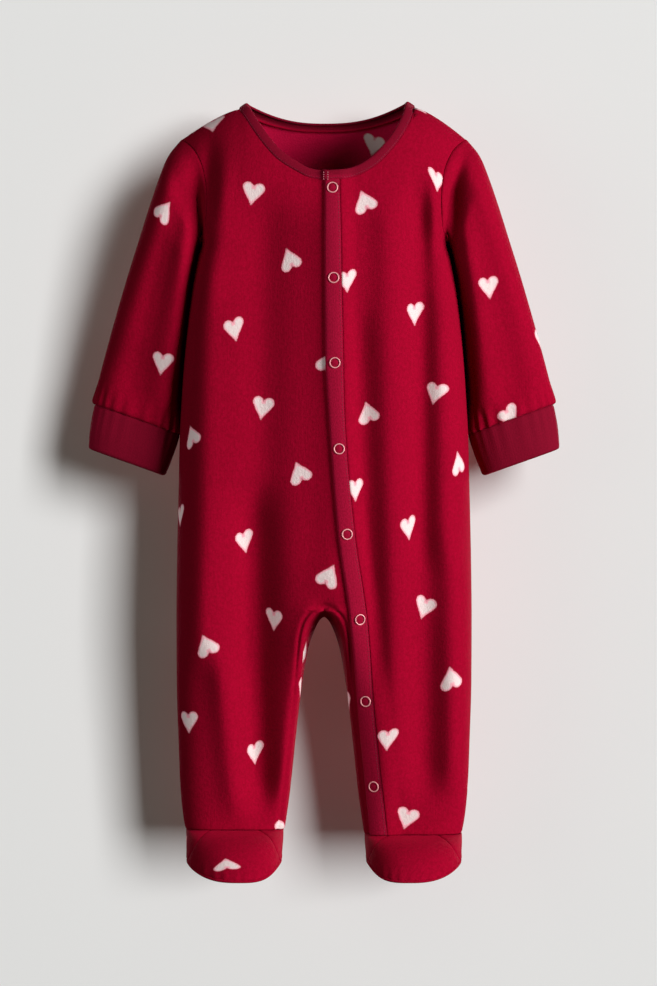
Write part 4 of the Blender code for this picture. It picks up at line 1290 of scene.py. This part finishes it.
SLEEVE_HEARTS = {
    RIGHT: (
        ((-131, -SEEN, -90), (145, 135), 13.3, 17),
        ((-133, -SEEN, -215), DOWN, 13.5, 18.3),
        ((-124, SEEN, -70), DOWN),
        ((-128, SEEN, -130), UP),
        ((-158, SEEN, -180), LEANING),
        ((-136, SEEN, -236), UP),
        ((-172, 14, -160), DOWN),
    ),
    LEFT: (
        ((135, -SEEN, -153), (10, 10), 13.2, 17.9),
        ((153, -SEEN, -258), (35, 40), 14, 16.5),
        ((178, 2, -194), (5, 10)),
        ((126, SEEN, -84), UP),
        ((126, SEEN, -140), DOWN),
        ((160, SEEN, -190), UP),
        ((140, SEEN, -244), LEANING),
    ),
}
for side, word in SIDES:
    grid = tube(side, lambda v, angle: sleeve_point(side, v, angle), SLEEVE_COLUMNS, SLEEVE_ROWS)
    bm = sewn(grid, hearts=SLEEVE_HEARTS[side])
    sleeve = made_up(f"sleeve_{word}_tube", bm, fleece, [f"sleeve_{word}"])

# --- the cuffs -------------------------------------------------------------------------------------------
# Folded bands of plain cotton jersey, sewn to the sleeves' ends. They are a little narrower than the sleeves,
# so they gather them in.

CUFF = Rows(
    "v outer_x outer_z inner_x inner_z depth middle",
    (0, 189.3, -247.9, 119.3, -272.9, 19.6, 8),
    (0.5, 192.6, -266.8, 125.2, -290.2, 19.2, 8),
    (1, 194.7, -284, 131, -306.3, 17.5, 8),
)
CUFF_COLUMNS, CUFF_ROWS = 96, 20


def cuff_point(v, angle):
    """The cuff's surface, with faint hollows that run down it from the gathers."""
    hollow = 0.45 * (1 - v) * gathers(angle) + 0.5 * math.sin(math.pi * v)
    return moved_out(CUFF, v, ring_point(CUFF, v, angle), hollow)


for side, word in SIDES:
    bm = sewn(tube(side, cuff_point, CUFF_COLUMNS, CUFF_ROWS), sink=0.7)
    cuff = made_up(f"cuff_{word}_band", bm, jersey, [f"cuff_{word}"], BAND_WALL)

# --- the feet --------------------------------------------------------------------------------------------
# Each foot is three pieces of the fleece: a vamp over the toes, a heel round the back and a sole, sewn to
# each other and to the ankle with their edges turned under. They throw no shade on the wall, where the suit's
# shade ends softly at the ankles.

FOOT_X = 73.5
ANKLE_HALF, ANKLE_FRONT, ANKLE_BACK = 40.3, 24.8, 25.4
SOLE_HALF, SOLE_MIDDLE_Y, SOLE_REACH = 39.0, -32.0, 56.0
SOLE_SIDE_Z, TOE_DROP, HEEL_DROP, SOLE_BELLY = -620.0, 13.5, 11.0, 3.0
TOE_IN, TOE_ROUND, FOOT_BELLY, VAMP_BELLY = 5.0, 0.6, 6.0, 3.5
SOLE_WALL, SOLE_SEAM, MEAN_RADIUS = 2.0, 0.5, 40
FOOT_ROWS, VAMP_COLUMNS, HEEL_COLUMNS, SOLE_COLUMNS, SOLE_RINGS = 30, 44, 64, 96, 16
VAMP_ANGLE = Rows("t angle", (0.0, 27.0), (0.5, 50.0), (1.0, 76.0))


def ankle_point(side, angle):
    """The foot's top edge, sewn to the leg."""
    size = ANKLE_FRONT if math.cos(angle) > 0 else ANKLE_BACK
    aside = squared_off(math.sin(angle), 0.9)
    return Vector((ANKLE_HALF * aside, -size * math.cos(angle), ANKLE_Z[side] - SEAM))


def sole_point(angle):
    """The edge where the foot's upper meets its sole."""
    forward = math.cos(angle)
    aside = squared_off(math.sin(angle), 0.85)
    drop = TOE_DROP if forward > 0 else HEEL_DROP
    x = SOLE_HALF * aside - TOE_IN * max(0.0, forward) ** 3
    fall = forward**2 if forward < 0 else 1 - abs(aside) ** 3.2
    return Vector((x, SOLE_MIDDLE_Y - SOLE_REACH * forward, SOLE_SIDE_Z - drop * fall))


def foot_point(side, t, angle):
    """The foot's upper surface from the ankle, t = 0, to the sole; angle 0 is the toe and 180 the heel."""
    top, bottom = ankle_point(side, angle), sole_point(angle)
    quarter = math.pi / 2 * t
    point = top.lerp(bottom, lerp(t, math.sin(quarter), TOE_ROUND))
    point.z = lerp(top.z, bottom.z, lerp(t, 1 - math.cos(quarter), TOE_ROUND))
    out = Vector((math.sin(angle), -math.cos(angle), 0))
    pucker = 0.5 * ease((t - 0.75) / 0.25) * math.sin(31 * angle + math.sin(5 * angle))
    up = Vector((0, 0, VAMP_BELLY * max(0.0, math.cos(angle)) * math.sin(math.pi * t) ** 2))
    return point + up + out * (FOOT_BELLY * max(0.0, -math.cos(angle)) * math.sin(math.pi * t) + pucker)


def under_leg(side, rows):
    """Puts a foot's rows under its leg; both are made as the left one, and the right one is mirrored."""
    x = side * FOOT_X
    rows = [[Vector((x + side * spot.x, spot.y, spot.z)) for spot in row] for row in rows]
    return rows if side == RIGHT else [row[::-1] for row in rows]


def foot_panel(side, columns, edges_at):
    """Rows of one upper panel from ankle to sole, between the two angles that edges_at gives for each."""
    rows = []
    for i in range(FOOT_ROWS + 1):
        t = i / FOOT_ROWS
        start, end = edges_at(math.radians(VAMP_ANGLE.read("angle", t)))
        rows.append([foot_point(side, t, lerp(start, end, j / columns)) for j in range(columns + 1)])
    return under_leg(side, rows)


VAMP_HEARTS = {
    RIGHT: (((-79, -SEEN, -621), (195, 188), 17.0, 11.0),),
    LEFT: (),
}
HEEL_HEARTS = {
    RIGHT: (((-108, -16, -610), DOWN), ((-60, SEEN, -612), UP)),
    LEFT: (((88, SEEN, -610), DOWN),),
}
for side, word in SIDES:
    gap = SEAM / 2 / MEAN_RADIUS
    grid = foot_panel(side, VAMP_COLUMNS, lambda edge: (-edge + gap, edge - gap))
    bm = sewn(grid, hearts=VAMP_HEARTS[side], weld=False)
    vamp = made_up(f"vamp_{word}_panel", bm, fleece, [f"vamp_{word}"], shades=False)

    grid = foot_panel(side, HEEL_COLUMNS, lambda edge: (edge + gap, 2 * math.pi - edge - gap))
    bm = sewn(grid, hearts=HEEL_HEARTS[side], weld=False)
    heel = made_up(f"heel_{word}_panel", bm, fleece, [f"heel_{word}"], shades=False)

    rows = []
    for i in range(SOLE_RINGS + 1):
        share = max(1 - i / SOLE_RINGS, 0.02)
        row = []
        for j in range(SOLE_COLUMNS + 1):
            edge = sole_point(2 * math.pi * j / SOLE_COLUMNS)
            y = lerp(SOLE_MIDDLE_Y, edge.y, share)
            z = lerp(SOLE_SIDE_Z - HEEL_DROP, edge.z, share**2) - SOLE_SEAM - SOLE_BELLY * (1 - share**2)
            row.append(Vector((edge.x * share, y, z - SOLE_WALL)))
        rows.append(row)
    bm = bmesh.new()
    lay_cloth(bm, under_leg(side, rows))
    bmesh.ops.remove_doubles(bm, verts=bm.verts, dist=WELD * MM)
    open_edges = (edge for edge in bm.edges if edge.is_boundary)
    middle = [edge for edge in open_edges if abs(edge.verts[0].co.y / MM - SOLE_MIDDLE_Y) < 3]
    bmesh.ops.edgeloop_fill(bm, edges=middle)
    print_hearts(bm, (((side * 70, -30, -640), UP), ((side * 92, -50, -640), DOWN)))
    turn_under(bm, sink=0.5, turn=1.2)
    sole = made_up(f"sole_{word}_panel", bm, fleece, [f"sole_{word}"], SOLE_WALL, shades=False)

# --- the press snaps -------------------------------------------------------------------------------------
# Eight ring snaps in pale pink lacquered metal, pressed through the band, with plain metal sockets between
# the band and the underlap.

RING_WIRE = 0.5

ring_metal = Finish("pale_pink_metal")
wear = ring_metal.noise(object_place(ring_metal), 700, 2.0)
ring_metal.shade(
    {
        "Base Color": ring_metal.mixed(wear, (0.8, 0.29, 0.31, 1), (0.9, 0.42, 0.42, 1)),
        "Metallic": 0.15,
        "Roughness": wear * 0.12 + 0.3,
        "Normal": ring_metal.bump(wear, 0.0001, 0.3),
    }
)
socket_metal = Finish("plain_metal")
scuffs = socket_metal.noise(object_place(socket_metal), 900, 2.0)
socket_metal.shade({"Base Color": (0.62, 0.61, 0.6, 1), "Metallic": 1.0, "Roughness": scuffs * 0.2 + 0.3})


def snap_frame(z, lift):
    """A frame on the band at a snap's height, its Z axis outward."""
    x = snap_x(z)
    spot, out = raised(FRONT, x, z, lift)
    return Matrix.Translation(spot * MM) @ out.to_track_quat("Z", "Y").to_matrix().to_4x4()


for number, z in enumerate(SNAP_HEIGHTS, start=1):
    bm = bmesh.new()
    wire = Matrix.Translation((RING_RADIUS * MM, 0, 0)) @ Matrix.Rotation(math.radians(90), 4, "X")
    bmesh.ops.create_circle(bm, segments=14, radius=RING_WIRE * MM, matrix=wire)
    circle = bm.verts[:] + bm.edges[:]
    bmesh.ops.spin(bm, geom=circle, axis=(0, 0, 1), angle=2 * math.pi, steps=44, use_merge=True)
    bmesh.ops.remove_doubles(bm, verts=bm.verts, dist=0.001 * MM)
    bmesh.ops.recalc_face_normals(bm, faces=bm.faces)
    bmesh.ops.transform(bm, matrix=snap_frame(z, BAND_LIFT + RING_WIRE), verts=bm.verts)
    made_up(f"snap_ring_{number}_metal", bm, ring_metal, [f"snap_ring_{number}"], 0)
    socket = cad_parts[f"snap_socket_{number}"]
    lit_suit.objects.link(socket)
    socket.data.materials.clear()
    socket.data.materials.append(socket_metal.material)
